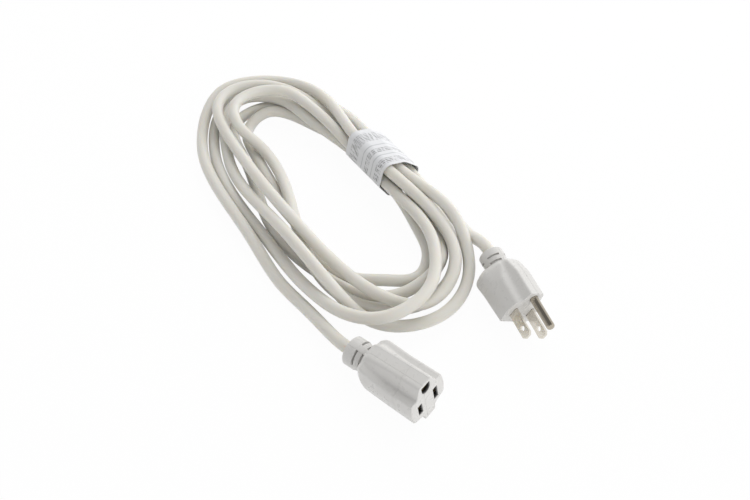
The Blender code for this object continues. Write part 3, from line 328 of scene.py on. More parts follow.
def add_object(name, data, look=None):
    """Link a new object to the scene."""
    made = bpy.data.objects.new(name, data)
    bpy.context.scene.collection.objects.link(made)
    if look:
        data.materials.append(look)
    return made


def lofted(name, sections, look=None):
    """Skin closed sections of equal point count, one after the other, and cap both ends."""
    bm = bmesh.new()
    rings = [[bm.verts.new(point) for point in points] for points in sections]
    count = len(rings[0])
    for ring, following in zip(rings, rings[1:]):
        for i in range(count):
            j = (i + 1) % count
            bm.faces.new((ring[i], ring[j], following[j], following[i]))
    bm.faces.new(list(reversed(rings[0])))
    bm.faces.new(rings[-1])
    bmesh.ops.recalc_face_normals(bm, faces=bm.faces)
    mesh = bpy.data.meshes.new(name)
    bm.to_mesh(mesh)
    bm.free()
    return add_object(name, mesh, look)


def box_outline(y, width, height):
    """A box of (y, z) points about a place on the line of the blades."""
    side = width / 2
    top = height / 2
    return [(y - side, -top), (y + side, -top), (y + side, top), (y - side, top)]


def arc(z, radius, count, start, sweep):
    """Points of a circle about a height on the middle plane, as (y, z)."""
    angles = [start + sweep * i / (count - 1) for i in range(count)]
    return [(radius * cos(angle), z + radius * sin(angle)) for angle in angles]


def circle(z, radius):
    return arc(z, radius, ROUND_SIDES + 1, 0.0, 2 * pi)[:-1]


def stepped_tool(*steps):
    """A cutter along X through outlines of (y, z) points, given as (x, outline)."""
    return lofted("tool", [[(x, y, z) for y, z in outline] for x, outline in steps])


def prism_tool(outline, x_from, x_to):
    return stepped_tool((x_from, outline), (x_to, outline))


def finish_piece(piece, own_frame, node, cutters=(), core=None):
    """Join the core, cut with the cutters, put the piece in its place, name its mesh after it and
    hide the node it replaces.
    """
    tools = [(core, "UNION")] if core else []
    tools += [(cutter, "DIFFERENCE") for cutter in cutters]
    for tool, operation in tools:
        modifier = piece.modifiers.new("tool", "BOOLEAN")
        modifier.operation = operation
        modifier.solver = "EXACT"
        modifier.object = tool
    evaluated = piece.evaluated_get(bpy.context.evaluated_depsgraph_get())
    mesh = bpy.data.meshes.new_from_object(evaluated)
    piece.modifiers.clear()
    piece.data = mesh
    mesh.name = piece.name
    mesh.shade_smooth()
    mesh.set_sharp_from_angle(angle=SHARP_ANGLE)
    for tool, _ in tools:
        bpy.data.objects.remove(tool, do_unlink=True)
    piece.matrix_world = own_frame
    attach(piece, "root")
    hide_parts(node)


# ==== Route of the cord ====

def station_point(station, lane, layer, lift=0.0):
    """A point of a turn at a station: lanes count inwards, layers upwards."""
    place, inwards = STATIONS[station]
    length = hypot(*inwards)
    x, y = (place[k] * MM + inwards[k] / length * lane * PITCH for k in (0, 1))
    return (x, y, CORD_RADIUS + lift + layer * LAYER)


def wrap_point(station, place):
    return station_point(station, *WRAP_PLACES[place], lift=WRAP_LIFT)


def moulding_frame(face, turns, sections):
    """Frame of a moulding that lies on the surface: origin on its face, +X out of the face."""
    yaw, roll, pitch = turns
    turn = (Matrix.Rotation(yaw, 4, "Z") @ Matrix.Rotation(-pitch, 4, "Y")
            @ Matrix.Rotation(roll, 4, "X"))
    height = -min((turn @ Vector(point)).z for section in sections for point in section)
    return Matrix.Translation((face[0], face[1], height)) @ turn


def lead_end(frame, jacket, length, axis):
    """Last points of a lead in a moulding: jacket end, cord end of the collar, run-in."""
    places = (-jacket, -length, -length - CORD_DIAMETER)
    return [tuple(frame @ Vector((x, 0, axis))) for x in places]


def smooth_curve(points, count):
    """A natural cubic spline through the points, sampled evenly along its chord length."""
    points = np.array(points)
    steps = np.maximum(np.linalg.norm(np.diff(points, axis=0), axis=1), 1e-6)
    knots = np.concatenate([[0], np.cumsum(steps)])
    size = len(points)
    system = np.eye(size)
    right = np.zeros((size, 3))
    for i in range(1, size - 1):
        before, after = steps[i - 1], steps[i]
        system[i, i - 1:i + 2] = (before, 2 * (before + after), after)
        right[i] = 6 * ((points[i + 1] - points[i]) / after - (points[i] - points[i - 1]) / before)
    bend = np.linalg.solve(system, right)
    at = np.linspace(0, knots[-1], count)
    k = np.clip(np.searchsorted(knots, at, side="right") - 1, 0, size - 2)
    step = steps[k][:, None]
    left = (knots[k + 1] - at)[:, None]
    past = (at - knots[k])[:, None]
    return (bend[k] * left ** 3 / (6 * step) + bend[k + 1] * past ** 3 / (6 * step)
            + (points[k] / step - bend[k] * step / 6) * left
            + (points[k + 1] / step - bend[k + 1] * step / 6) * past)


def even_points(curve, step, ends):
    """Points about a step apart along a finely sampled curve, between two places on it."""
    first, last = (int(np.argmin(np.linalg.norm(curve - np.array(end), axis=1))) for end in ends)
    curve = np.vstack([ends[0], curve[first + 1:last], ends[1]])
    lengths = np.linalg.norm(np.diff(curve, axis=0), axis=1)
    along = np.concatenate([[0], np.cumsum(lengths)])
    wanted = np.linspace(0, along[-1], int(round(along[-1] / step)) + 1)
    return np.stack([np.interp(wanted, along, curve[:, axis]) for axis in range(3)], axis=1)


def run_distances(points, first, second):
    """Nearest places and distance between pairs of straight runs of the route."""
    start = points[:-1]
    way = np.diff(points, axis=0)
    a, b = way[first], way[second]
    between = start[first] - start[second]
    aa, ab, bb = (a * a).sum(1), (a * b).sum(1), (b * b).sum(1)
    ac, bc = (a * between).sum(1), (b * between).sum(1)
    area = np.maximum(aa * bb - ab * ab, 1e-14)
    s = np.clip((ab * bc - bb * ac) / area, 0, 1)
    t = np.clip((ab * s + bc) / bb, 0, 1)
    s = np.clip((ab * t - ac) / aa, 0, 1)
    offset = between + a * s[:, None] - b * t[:, None]
    return s, t, offset, np.linalg.norm(offset, axis=1)


def lowest_height(points):
    """Lowest height of the cord's axis: on the surface, or on the paper of the wrap."""
    beyond = np.abs(points[:, 0] - WRAP_CENTRE_X) - WRAP_LENGTH / 2
    lifted = np.clip(1.5 - beyond / CORD_STEP, 0, 1) * (points[:, 1] > 0)
    return CORD_RADIUS + WRAP_LIFT * lifted


def settle(route):
    """Push turns that lie too close apart, and keep the cord on or above the surface."""
    placed = route.copy()
    points = route.copy()
    count = len(points)
    all_first, all_second = np.triu_indices(count - 1, 3)   # runs that aren't neighbours
    free = np.ones((count, 1), dtype=bool)
    free[:HELD_POINTS] = False
    free[-HELD_POINTS:] = False
    for step in range(SETTLE_STEPS):
        if step % RENEW_STEPS == 0:
            near = run_distances(points, all_first, all_second)[3] < PITCH * NEAR_PITCHES
            first, second = all_first[near], all_second[near]
        moved = points - placed
        early = step < EARLY_STEPS
        spread = EARLY_SPREAD if early else MIDDLE_SPREAD if step < MIDDLE_STEPS else 0.0
        moved[1:-1] += spread * ((moved[:-2] + moved[2:]) / 2 - moved[1:-1])
        if early:
            moved[:, 2] -= SINK_STEP
        points = np.where(free, placed + moved, points)
        # A bend that is too tight opens a little at each step.
        if step < BENDING_STEPS:
            towards = (points[:-2] + points[2:]) / 2 - points[1:-1]
            depth = np.linalg.norm(towards, axis=1)
            excess = np.clip(depth - CORD_STEP ** 2 / (2 * TIGHTEST_BEND), 0, None)
            open_up = towards * (excess / np.maximum(depth, 1e-9))[:, None] * 0.25
            relaxed = points.copy()
            relaxed[1:-1] += open_up
            relaxed[:-2] -= open_up / 2
            relaxed[2:] -= open_up / 2
            points = np.where(free, relaxed, points)
        points[:, 2] = np.maximum(points[:, 2], lowest_height(points))
        for _ in range(3):
            s, t, offset, distance = run_distances(points, first, second)
            close = distance < PITCH
            if not close.any():
                break
            i, j, s, t = first[close], second[close], s[close], t[close]
            gap = distance[close]
            push = ((PITCH * 1.0005 - gap) / np.maximum(gap, 1e-9) / 2)[:, None] * offset[close]
            shift = np.zeros_like(points)
            weight = np.zeros(count)
            for index, share, sign in ((i, 1 - s, 1), (i + 1, s, 1),
                                       (j, 1 - t, -1), (j + 1, t, -1)):
                np.add.at(shift, index, (sign * share)[:, None] * push)
                np.add.at(weight, index, share)
            shift *= 1.5 / np.maximum(weight, 0.6)[:, None]
            points = np.where(free, points + shift, points)
            points[:, 2] = np.maximum(points[:, 2], lowest_height(points))
    return points


def in_metres(points):
    return [tuple(value * MM for value in point) for point in points]


def cord_route(plug_frame, connector_frame):
    """The whole cord from the plug to the connector, in the hank's frame."""
    points = lead_end(plug_frame, PLUG_JACKET, PLUG_LENGTH, PLUG_AXIS)
    points += in_metres(PLUG_LEAD)
    points.append(wrap_point(WRAP_RIGHT, TURNS[0][0]))
    for leaving, lanes, layers, *coming in (*TURNS, LAST_TURN):
        points.append(wrap_point(WRAP_LEFT, leaving))
        points += [station_point(k + 1, lanes[k], layers[k]) for k in range(len(lanes))]
        points += [wrap_point(WRAP_RIGHT, place) for place in coming]
    points += in_metres(CONNECTOR_LEAD)
    points += reversed(lead_end(connector_frame, CONNECTOR_JACKET, CONNECTOR_LENGTH,
                                CONNECTOR_AXIS))
    fine = smooth_curve(points, ROUTE_SAMPLES)
    outside = even_points(fine, CORD_STEP, (points[2], points[-3]))
    return np.vstack([points[0], settle(outside), points[-1]])


def wrapped_places(route):
    """Where the cords cross five planes of the wrap, as (y, z)."""
    places = []
    for share in (-0.5, -0.25, 0, 0.25, 0.5):
        x = WRAP_CENTRE_X + share * WRAP_LENGTH
        for a, b in zip(route, route[1:]):
            if (a[0] - x) * (b[0] - x) <= 0 and a[1] > 0:
                t = (x - a[0]) / (b[0] - a[0])
                places.append((a[1] + t * (b[1] - a[1]), a[2] + t * (b[2] - a[2])))
    return places


# ==== Materials ====

class Tree:
    """The node tree of a material or of the world."""

    def __init__(self, owner):
        owner.use_nodes = True
        self.nodes = owner.node_tree.nodes
        self.links = owner.node_tree.links

    def feed(self, node, inputs):
        """Give a node's inputs their values, or link them to other nodes' outputs."""
        for socket, value in inputs.items():
            if isinstance(value, bpy.types.NodeSocket):
                self.links.new(value, node.inputs[socket])
            else:
                node.inputs[socket].default_value = value

    def add(self, kind, output=0, inputs=None, **settings):
        """A new node's output."""
        made = self.nodes.new("ShaderNode" + kind)
        for name, value in settings.items():
            setattr(made, name, value)
        self.feed(made, inputs or {})
        return made.outputs[output]

    def math(self, operation, *values):
        return self.add("Math", 0, dict(enumerate(values)), operation=operation)

    def ramp(self, factor, low, high, out_low=0.0, out_high=1.0):
        """A smooth step of the factor from low to high."""
        return self.add("MapRange", 0, {"Value": factor, "From Min": low, "From Max": high,
                                        "To Min": out_low, "To Max": out_high},
                        interpolation_type="SMOOTHSTEP")


class Look(Tree):
    """A Principled material whose colour, roughness and bump come from its nodes."""

    def __init__(self, name, colour, roughness):
        self.material = bpy.data.materials.new(name)
        super().__init__(self.material)
        self.place = self.add("TexCoord", "Object")
        self.colour = (*colour, 1)
        self.roughness = roughness
        self.normal = {}

    def noise(self, scale, detail):
        """Noise of one scale, or of a scale for each axis."""
        place = self.place
        if isinstance(scale, tuple):
            place = self.add("Mapping", 0, {"Vector": place, "Scale": scale})
            scale = 1.0
        return self.add("TexNoise", "Fac", {"Vector": place, "Scale": scale, "Detail": detail})

    def clouds(self, scale, detail, low, high, amount=1.0):
        """Noise that shows from low up to high, where it has the given amount."""
        return self.ramp(self.noise(scale, detail), low, high, 0.0, amount)

    def axis(self, index):
        """One coordinate in the piece's own frame."""
        return self.add("SeparateXYZ", index, {0: self.place})

    def line(self, index, place, width):
        """1 on a thin line where a coordinate has the given value, 0 away from it."""
        away = self.math("ABSOLUTE", self.math("SUBTRACT", self.axis(index), place))
        return self.ramp(away, width / 2, width, 1.0, 0.0)

    def near(self, y, z, low, high):
        """1 near a line along X of the piece's own frame, fading to 0 away from it."""
        squares = [self.math("POWER", self.math("SUBTRACT", self.axis(index), place), 2.0)
                   for index, place in ((1, y), (2, z))]
        return self.ramp(self.math("SQRT", self.math("ADD", *squares)), low, high, 1.0, 0.0)

    def tint(self, factor, colour):
        """Blend towards a colour."""
        self.colour = self.add("Mix", "Result", {"Factor": factor, "A": self.colour,
                                                 "B": (*colour, 1)}, data_type="RGBA")

    def rough(self, factor, amount):
        """Add to the roughness."""
        self.roughness = self.math("ADD", self.roughness, self.math("MULTIPLY", factor, amount))

    def bump(self, height, distance, strength=1.0):
        """Add relief on top of what there is."""
        self.normal = {"Normal": self.add("Bump", 0, {
            "Height": height, "Distance": distance, "Strength": strength, **self.normal})}

    def finished(self, **inputs):
        """The material, given more inputs of its shader with _ for a space."""
        named = {name.replace("_", " "): value for name, value in inputs.items()}
        self.feed(self.nodes["Principled BSDF"], {
            "Base Color": self.colour, "Roughness": self.roughness, **self.normal, **named})
        return self.material


def jacket_look():
    """Satin off-white vinyl with faint flow marks and handling dirt."""
    look = Look("jacket", (0.745, 0.73, 0.68), 0.36)
    look.tint(look.clouds(35, 2, 0.4, 0.7, 0.5), (0.725, 0.70, 0.635))
    look.tint(look.clouds(900, 4, 0.55, 0.8, 0.2), (0.63, 0.61, 0.54))
    look.rough(look.clouds(260, 4, 0.35, 0.7), 0.09)
    look.bump(look.noise(420, 3), 0.05 * MM, 0.35)
    look.bump(look.noise(3200, 2), 0.012 * MM, 0.5)
    return look.finished(Specular_IOR_Level=0.45, Subsurface_Weight=0.35,
                         Subsurface_Radius=(1.0, 0.75, 0.45), Subsurface_Scale=2.5 * MM)


def vinyl_look(name, lines, openings=()):
    """Semi-gloss moulded vinyl with fine grain, cloudy gloss, faint lines of the mould with painted
    shade in their grooves, and painted shade inside any openings given.
    """
    look = Look(name, (0.67, 0.66, 0.64), 0.27)
    look.tint(look.clouds(70, 2, 0.4, 0.7, 0.4), (0.655, 0.64, 0.615))
    look.tint(look.clouds(1300, 3, 0.6, 0.85, 0.07), (0.66, 0.64, 0.60))
    look.rough(look.clouds(340, 3, 0.35, 0.7), 0.10)
    look.bump(look.noise(150, 2), 0.03 * MM, 0.25)
    look.bump(look.noise(2600, 3), 0.004 * MM, 0.2)
    for index, place, width, height in lines:
        mark = look.line(index, place, width)
        # Painted shade: a groove is tinted darker, as shade falls in it.
        if height < 0:
            look.tint(look.math("MULTIPLY", mark, 0.35), (0.5, 0.49, 0.47))
        look.bump(mark, height)
    for y, z, reach in openings:
        # Painted shade: the vinyl darkens to near black inside each opening, behind the rim's
        # chamfer.
        painted_shade_inside = look.ramp(look.axis(0), -0.6 * RIM_CHAMFER, 0.02 * MM, 0.97, 0.0)
        look.tint(look.math("MULTIPLY", painted_shade_inside, look.near(y, z, reach, reach + 0.3 * MM)), INK_AND_PAINTED_SHADE)
    return look.finished(Specular_IOR_Level=0.5, Coat_Weight=0.12, Coat_Roughness=0.2)


def metal_look(name, colour, dark, roughness):
    """Plated or bare metal with drawn streaks, clouded plating and small stains."""
    streaks = (30, 900, 900)
    look = Look(name, colour, roughness)
    look.tint(look.clouds(160, 3, 0.45, 0.75, 0.45), dark)
    look.tint(look.clouds(streaks, 3, 0.5, 0.8, 0.25), dark)
    look.rough(look.clouds(streaks, 4, 0.3, 0.75), 0.08)
    look.bump(look.noise(streaks, 4), 0.004 * MM, 0.4)
    return look.finished(Metallic=1.0)


def plain_look(name, colour, dark, roughness=0.45):
    """Plastic with a slight mottle and grain, for the pieces inside."""
    look = Look(name, colour, roughness)
    look.tint(look.clouds(225, 3, 0.4, 0.7, 0.5), dark)
    look.rough(look.clouds(900, 3, 0.35, 0.7), 0.12)
    look.bump(look.noise(1800, 3), 0.012 * MM, 0.5)
    return look.finished()


def paper_look():
    """Coated label paper: cool white, faint fibres, soft creases, seams and plain print dashes."""
    look = Look("label_paper", (0.745, 0.75, 0.765), 0.46)
    look.tint(look.clouds(120, 4, 0.45, 0.75, 0.5), (0.70, 0.71, 0.735))
    look.tint(look.clouds((2500, 500, 500), 4, 0.55, 0.8, 0.25), (0.65, 0.66, 0.68))
    wave = look.math("SINE", look.math("MULTIPLY", look.axis(0), ROW_RATE))
    dashes = look.clouds((170, 1000, 1000), 1, 0.46, 0.52)
    printed = look.math("MULTIPLY", look.ramp(wave, 0.1, 0.4), dashes)
    zones = 0.0
    for start, end in PRINT_ZONES:
        middle = WRAP_CENTRE_X + ((start + end) / 2 - 0.5) * WRAP_LENGTH
        zone = look.line(0, middle, (end - start) * WRAP_LENGTH / 2)
        zones = look.math("MAXIMUM", zones, zone)
    look.tint(look.math("MULTIPLY", look.math("MULTIPLY", printed, zones), 0.85), INK_AND_PAINTED_SHADE)
    for share in SEAM_SHARES:
        seam = look.line(0, WRAP_CENTRE_X + (share - 0.5) * WRAP_LENGTH, 0.45 * MM)
        look.tint(look.math("MULTIPLY", seam, 0.7), (0.42, 0.43, 0.45))
    look.rough(look.clouds(500, 3, 0.35, 0.7), 0.16)
    look.bump(look.noise(90, 2), 0.16 * MM, 0.4)
    look.bump(look.noise((3000, 900, 900), 4), 0.012 * MM, 0.6)
    return look.finished()


# ==== Cord ====

def build_cord(route, look):
    """The whole jacket as one bevelled curve, and the points that it runs through."""
    fine = smooth_curve(route, len(route) * CORD_FINENESS)
    fine[:, 2] = np.maximum(fine[:, 2], CORD_RADIUS)
    fine += np.array((*HANK_OFFSET, 0.0))
    curve = bpy.data.curves.new("cord", "CURVE")
    curve.dimensions = "3D"
    curve.bevel_depth = CORD_RADIUS
    curve.bevel_resolution = 5
    curve.use_fill_caps = True
    curve.twist_mode = "MINIMUM"
    spline = curve.splines.new("POLY")
    spline.points.add(len(fine) - 1)
    for point, place in zip(spline.points, fine):
        point.co = (*place, 1)
    spline.use_smooth = True
    cord = add_object("cord", curve, look)
    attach(cord, "root")
    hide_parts("cord_plug_lead", "cord_hank", "cord_connector_lead")
    return cord, fine


# ==== Paper wrap ====

def wrap_profile():
    """Places along the wrap, closer together at its edges and seam lines, with their dips."""
    shares = [0, 0.012, 0.06, 0.2, 0.33, 0.6, 0.85, 0.94, 0.988, 1]
    for seam in SEAM_SHARES:
        shares += [seam - SEAM_HALF_WIDTH, seam, seam + SEAM_HALF_WIDTH]
    return [(share, SEAM_DEPTH if share in SEAM_SHARES else 0.0) for share in sorted(shares)]


def build_wrap(own_frame, route, look):
    """A paper strip round the seven cords, lapped over itself underneath."""
    places = wrapped_places(route)
    middle_y, middle_z = (sum(place[k] for place in places) / len(places) for k in (0, 1))
    farthest = max(hypot(y - middle_y, z - middle_z) for y, z in places)
    lap_angle = WRAP_LAP / (2 * PITCH)
    profile = wrap_profile()
    sections = []
    for k in range(WRAP_STEPS + 1):
        turned = (2 * pi + lap_angle) * k / WRAP_STEPS
        angle = WRAP_START + turned
        ramp = min(max((turned - 2 * pi + WRAP_RAMP) / WRAP_RAMP, 0.0), 1.0)
        inner = CORD_RADIUS + WRAP_ROOM + ramp * (WRAP_THICKNESS + SEAT_GAP)
        y, z = max(places, key=lambda p: p[0] * cos(angle) + p[1] * sin(angle))
        above = min(max(1 + 1.6 * sin(angle), 0.0), 1.0)   # 1 over the cords, 0 underneath
        y += WRAP_HUG * above * (middle_y + farthest * cos(angle) - y)
        z += WRAP_HUG * above * (middle_z + farthest * sin(angle) - z)
        section = []
        for face, order in ((WRAP_THICKNESS, profile), (0.0, reversed(profile))):
            for share, dip in order:
                wave = WRAP_WAVE * above * sin(3 * angle + 5 * share) * sin(pi * share)
                radius = inner + face - dip * (face > 0) - wave
                x = WRAP_CENTRE_X + (share - 0.5) * WRAP_LENGTH
                section.append((x, y + radius * cos(angle), z + radius * sin(angle)))
        sections.append(section)
    finish_piece(lofted("paper_wrap", sections, look), own_frame, "hank_wrap")


# ==== Mouldings ====

def rounded_outline(corners, reaches):
    """A closed outline whose corners are cut back by their reach along both sides."""
    corners = [Vector(corner) for corner in corners]
    points = []
    starts = []
    ends = []
    for i, (corner, reach) in enumerate(zip(corners, reaches)):
        for places, other in ((starts, corners[i - 1]), (ends, corners[(i + 1) % len(corners)])):
            away = other - corner
            places.append(corner + away * min(reach / away.length, 0.45))
    for i, corner in enumerate(corners):
        for step in range(CORNER_STEPS):
            t = step / CORNER_STEPS
            points.append(starts[i] * (1 - t) ** 2 + corner * 2 * t * (1 - t) + ends[i] * t ** 2)
        following = starts[(i + 1) % len(corners)]
        points += [ends[i].lerp(following, share) for share in SIDE_SHARES]
    return [tuple(point) for point in points]


def body_section(outlines, reaches, extent, x, place, scale):
    """One cross-section of a body, blended between two of its outlines."""
    half_width, above, below, axis = extent
    first = min(int(place), len(outlines) - 2)
    share = place - first
    right = []
    for (y_from, z_from), (y_to, z_to) in zip(outlines[first], outlines[first + 1]):
        y = (y_from * (1 - share) + y_to * share) * half_width * scale
        z = z_from * (1 - share) + z_to * share
        z *= above if z > 0 else below
        right.append((y, (z - axis) * scale + axis))
    corners = right + [(-y, z) for y, z in reversed(right)]
    return [(x, y, z) for y, z in rounded_outline(corners, reaches + reaches[::-1])]


def collar_section(x, radius, axis, body):
    """A round cross-section of the collar, each point behind its own point of the body."""
    angles = [atan2(y, z - axis) for _, y, z in body]
    return [(x, radius * sin(a), axis + radius * cos(a)) for a in angles]


def smoothed_body(body):
    """The table of body sections as many sections, with its corners averaged away."""
    table = np.array(body)
    at = np.linspace(table[0, 0], table[-1, 0], BODY_STEPS)
    rows = [np.interp(at, table[:, 0], table[:, column]) for column in (1, 2)]
    half = BODY_SMOOTHING // 2
    kernel = np.ones(BODY_SMOOTHING) / BODY_SMOOTHING
    rows = [np.convolve(np.pad(row, half, mode="edge"), kernel, mode="valid") for row in rows]
    return list(zip(at, *rows))


def moulding_sections(outlines, reaches, extent, body_start, body, length, collar, fine=False):
    """All cross-sections of a moulding, from the face back to the cord end of its collar."""
    collar_length, collar_wall, collar_rim = collar
    neck = -length + collar_length
    rim = CORD_RADIUS + collar_wall
    face = [(0.0, FACE_SCALE), (-FACE_ROUNDING, 1)]
    ring = [(-length + COLLAR_ROUNDING, rim), (-length, rim - COLLAR_ROUNDING)]
    if fine:
        body = smoothed_body(body if body_start else ((FACE_SEAT, 0, 1), *body))
        turns = [pi / 2 * step / FACE_STEPS for step in range(FACE_STEPS + 1)]
        face = [(-FACE_ROUNDING * (1 - cos(turn)), FACE_SCALE + (1 - FACE_SCALE) * sin(turn))
                for turn in turns]
        turns = [pi / 2 * step / COLLAR_STEPS for step in range(COLLAR_STEPS + 1)]
        ring = [(-length + COLLAR_ROUNDING * (1 - sin(turn)),
                 rim - COLLAR_ROUNDING * (1 - cos(turn))) for turn in turns]
    sections = [body_section(outlines, reaches, extent, x, 0, scale) for x, scale in face]
    for place, outline, scale in body:
        x = -body_start + (neck + body_start) * place
        sections.append(body_section(outlines, reaches, extent, x, outline, scale))
    last = sections[-1]
    for x, radius in ((neck, CORD_RADIUS + COLLAR_NECK_WALL), (-length + collar_rim, rim), *ring):
        sections.append(collar_section(x, radius, extent[-1], last))
    return sections


def plug_sections(fine=False):
    extent = (BLADE_SPACING / 2 + PLUG_SIDE,
              GROUND_OFFSET + PIN_DIAMETER / 2 + SEAT_GAP + PLUG_CROWN,
              BLADE_WIDTH / 2 + SEAT_GAP + PLUG_FOOT, PLUG_AXIS)
    collar = (PLUG_COLLAR_LENGTH, PLUG_COLLAR_WALL, PLUG_COLLAR_RIM)
    return moulding_sections(PLUG_OUTLINES, PLUG_CORNERS, extent, 0, PLUG_BODY, PLUG_LENGTH,
                             collar, fine)


def connector_sections(fine=False):
    extent = (BLADE_SPACING / 2 + CONNECTOR_SIDE,
              GROUND_OFFSET + SLEEVE_RADIUS + SEAT_GAP + CONNECTOR_CROWN,
              NEUTRAL_SLOT_LENGTH / 2 + CONNECTOR_FOOT, CONNECTOR_AXIS)
    collar = (CONNECTOR_COLLAR_LENGTH, CONNECTOR_COLLAR_WALL, CONNECTOR_COLLAR_RIM)
    return moulding_sections(CONNECTOR_OUTLINES, CONNECTOR_CORNERS, extent, FRONT_BLOCK_DEPTH,
                             CONNECTOR_BODY, CONNECTOR_LENGTH, collar, fine)


def collar_slot_tools(length, axis, wall, rim):
    """Cutters for two rows of slots round a collar, between its top, bottom and sides."""
    outer = CORD_RADIUS + wall + SEAT_GAP
    inner = JACKET_BORE + COLLAR_SLOT_FLOOR
    tools = []
    for row in range(2):
        x_rear = -length + rim + SEAT_GAP + row * COLLAR_SLOT_PITCH
        for slot in range(COLLAR_SLOTS_ROUND):
            start = (slot + 0.5) * 2 * pi / COLLAR_SLOTS_ROUND - COLLAR_SLOT_ARC / 2
            outline = arc(axis, outer, SLOT_POINTS, start, COLLAR_SLOT_ARC)
            outline += reversed(arc(axis, inner, SLOT_POINTS, start, COLLAR_SLOT_ARC))
            tools.append(prism_tool(outline, x_rear, x_rear + COLLAR_SLOT_WIDTH))
    return tools


def lobed_outline(foot_half_width, foot_half_height, lobe_half_width, top, grow=0.0):
    """The T-shaped outline of an inner block: a wide foot with the ground lobe above it."""
    wide = foot_half_width + grow
    foot = foot_half_height + grow
    narrow = lobe_half_width + grow
    top += grow
    right = [(wide, -foot), (wide, foot), (narrow, foot), (narrow, top - LOBE_CHAMFER),
             (narrow - LOBE_CHAMFER, top)]
    return [(0, -foot), *right, (0, top), *((-y, z) for y, z in reversed(right))]


def wire_room_tools(outline, places, length, axis):
    """Cutters for the room behind a block, narrowing to the bore that holds the jacket."""
    x_front, x_wires, x_jacket = places
    narrow = CORD_RADIUS - SEAT_GAP
    angles = [atan2(z - axis, y) for y, z in outline]
    around = [(narrow * cos(angle), axis + narrow * sin(angle)) for angle in angles]
    return [stepped_tool((x_front, outline), (x_wires, outline), (x_jacket, around)),
            prism_tool(circle(axis, JACKET_BORE), x_jacket + SEAT_GAP, -length - SEAT_GAP)]


def plug_block_outline(grow):
    """Outline of the hard block that holds the blades and the pin."""
    around = SEAT_GAP + PLUG_BLOCK_WALL
    top = GROUND_OFFSET + max(PIN_SHANK / 2 + SEAT_GAP + PLUG_BLOCK_CROWN, CRIMP_RADIUS)
    return lobed_outline(BLADE_SPACING / 2 + BLADE_THICKNESS / 2 + around, BLADE_WIDTH / 2 + around,
                         PIN_SHANK / 2 + around, top, grow)


def build_plug(own_frame, look):
    """The plug's overmould, with openings for the blades and the pin."""
    body = lofted("plug_moulding", plug_sections(fine=True), look)
    x_wires = -PLUG_BARREL - CRIMP_LENGTH - 3 * SEAT_GAP
    x_room = -PLUG_BLOCK_FRONT + SEAT_GAP
    tools = wire_room_tools(plug_block_outline(SEAT_GAP), (x_room, x_wires, -PLUG_JACKET),
                            PLUG_LENGTH, PLUG_AXIS)
    openings = [box_outline(y, BLADE_THICKNESS + SEAT_GAP, BLADE_WIDTH + SEAT_GAP)
                for y in (-BLADE_SPACING / 2, BLADE_SPACING / 2)]
    openings.append(circle(GROUND_OFFSET, PIN_DIAMETER / 2 + SEAT_GAP / 2))
    tools += [prism_tool(outline, SEAT_GAP, x_room - SEAT_GAP) for outline in openings]
    tools += collar_slot_tools(PLUG_LENGTH, PLUG_AXIS, PLUG_COLLAR_WALL, PLUG_COLLAR_RIM)
    finish_piece(body, own_frame, "plug_overmould", tools)


def ground_opening():
    """The ground hole: round towards the slots, flat away from them."""
    half = GROUND_HOLE_WIDTH / 2
    flat = GROUND_OFFSET + half
    return arc(GROUND_OFFSET, half, HOLE_POINTS, pi, pi) + [(half, flat), (-half, flat)]


def chamber_half_width():
    """Half the width of the chamber that holds a leaf contact and its crimp."""
    return max(CRIMP_RADIUS, LEAF_GAP / 2 + LEAF_THICKNESS) + SEAT_GAP


def core_outline(grow=0.0):
    """Outline of the front block's core, which holds the contacts."""
    lobe = SLEEVE_RADIUS + SEAT_GAP + CORE_WALL
    return lobed_outline(BLADE_SPACING / 2 + chamber_half_width() + CORE_WALL,
                         NEUTRAL_SLOT_LENGTH / 2 + CORE_WALL, lobe, GROUND_OFFSET + lobe, grow)


def opening_tool(outline, grown):
    """Cutter for an opening in the connector's face, with its chamfered rim."""
    return stepped_tool((SEAT_GAP, grown), (0.0, grown), (-RIM_CHAMFER, outline),
                        (-FRONT_WALL - SEAT_GAP, outline))


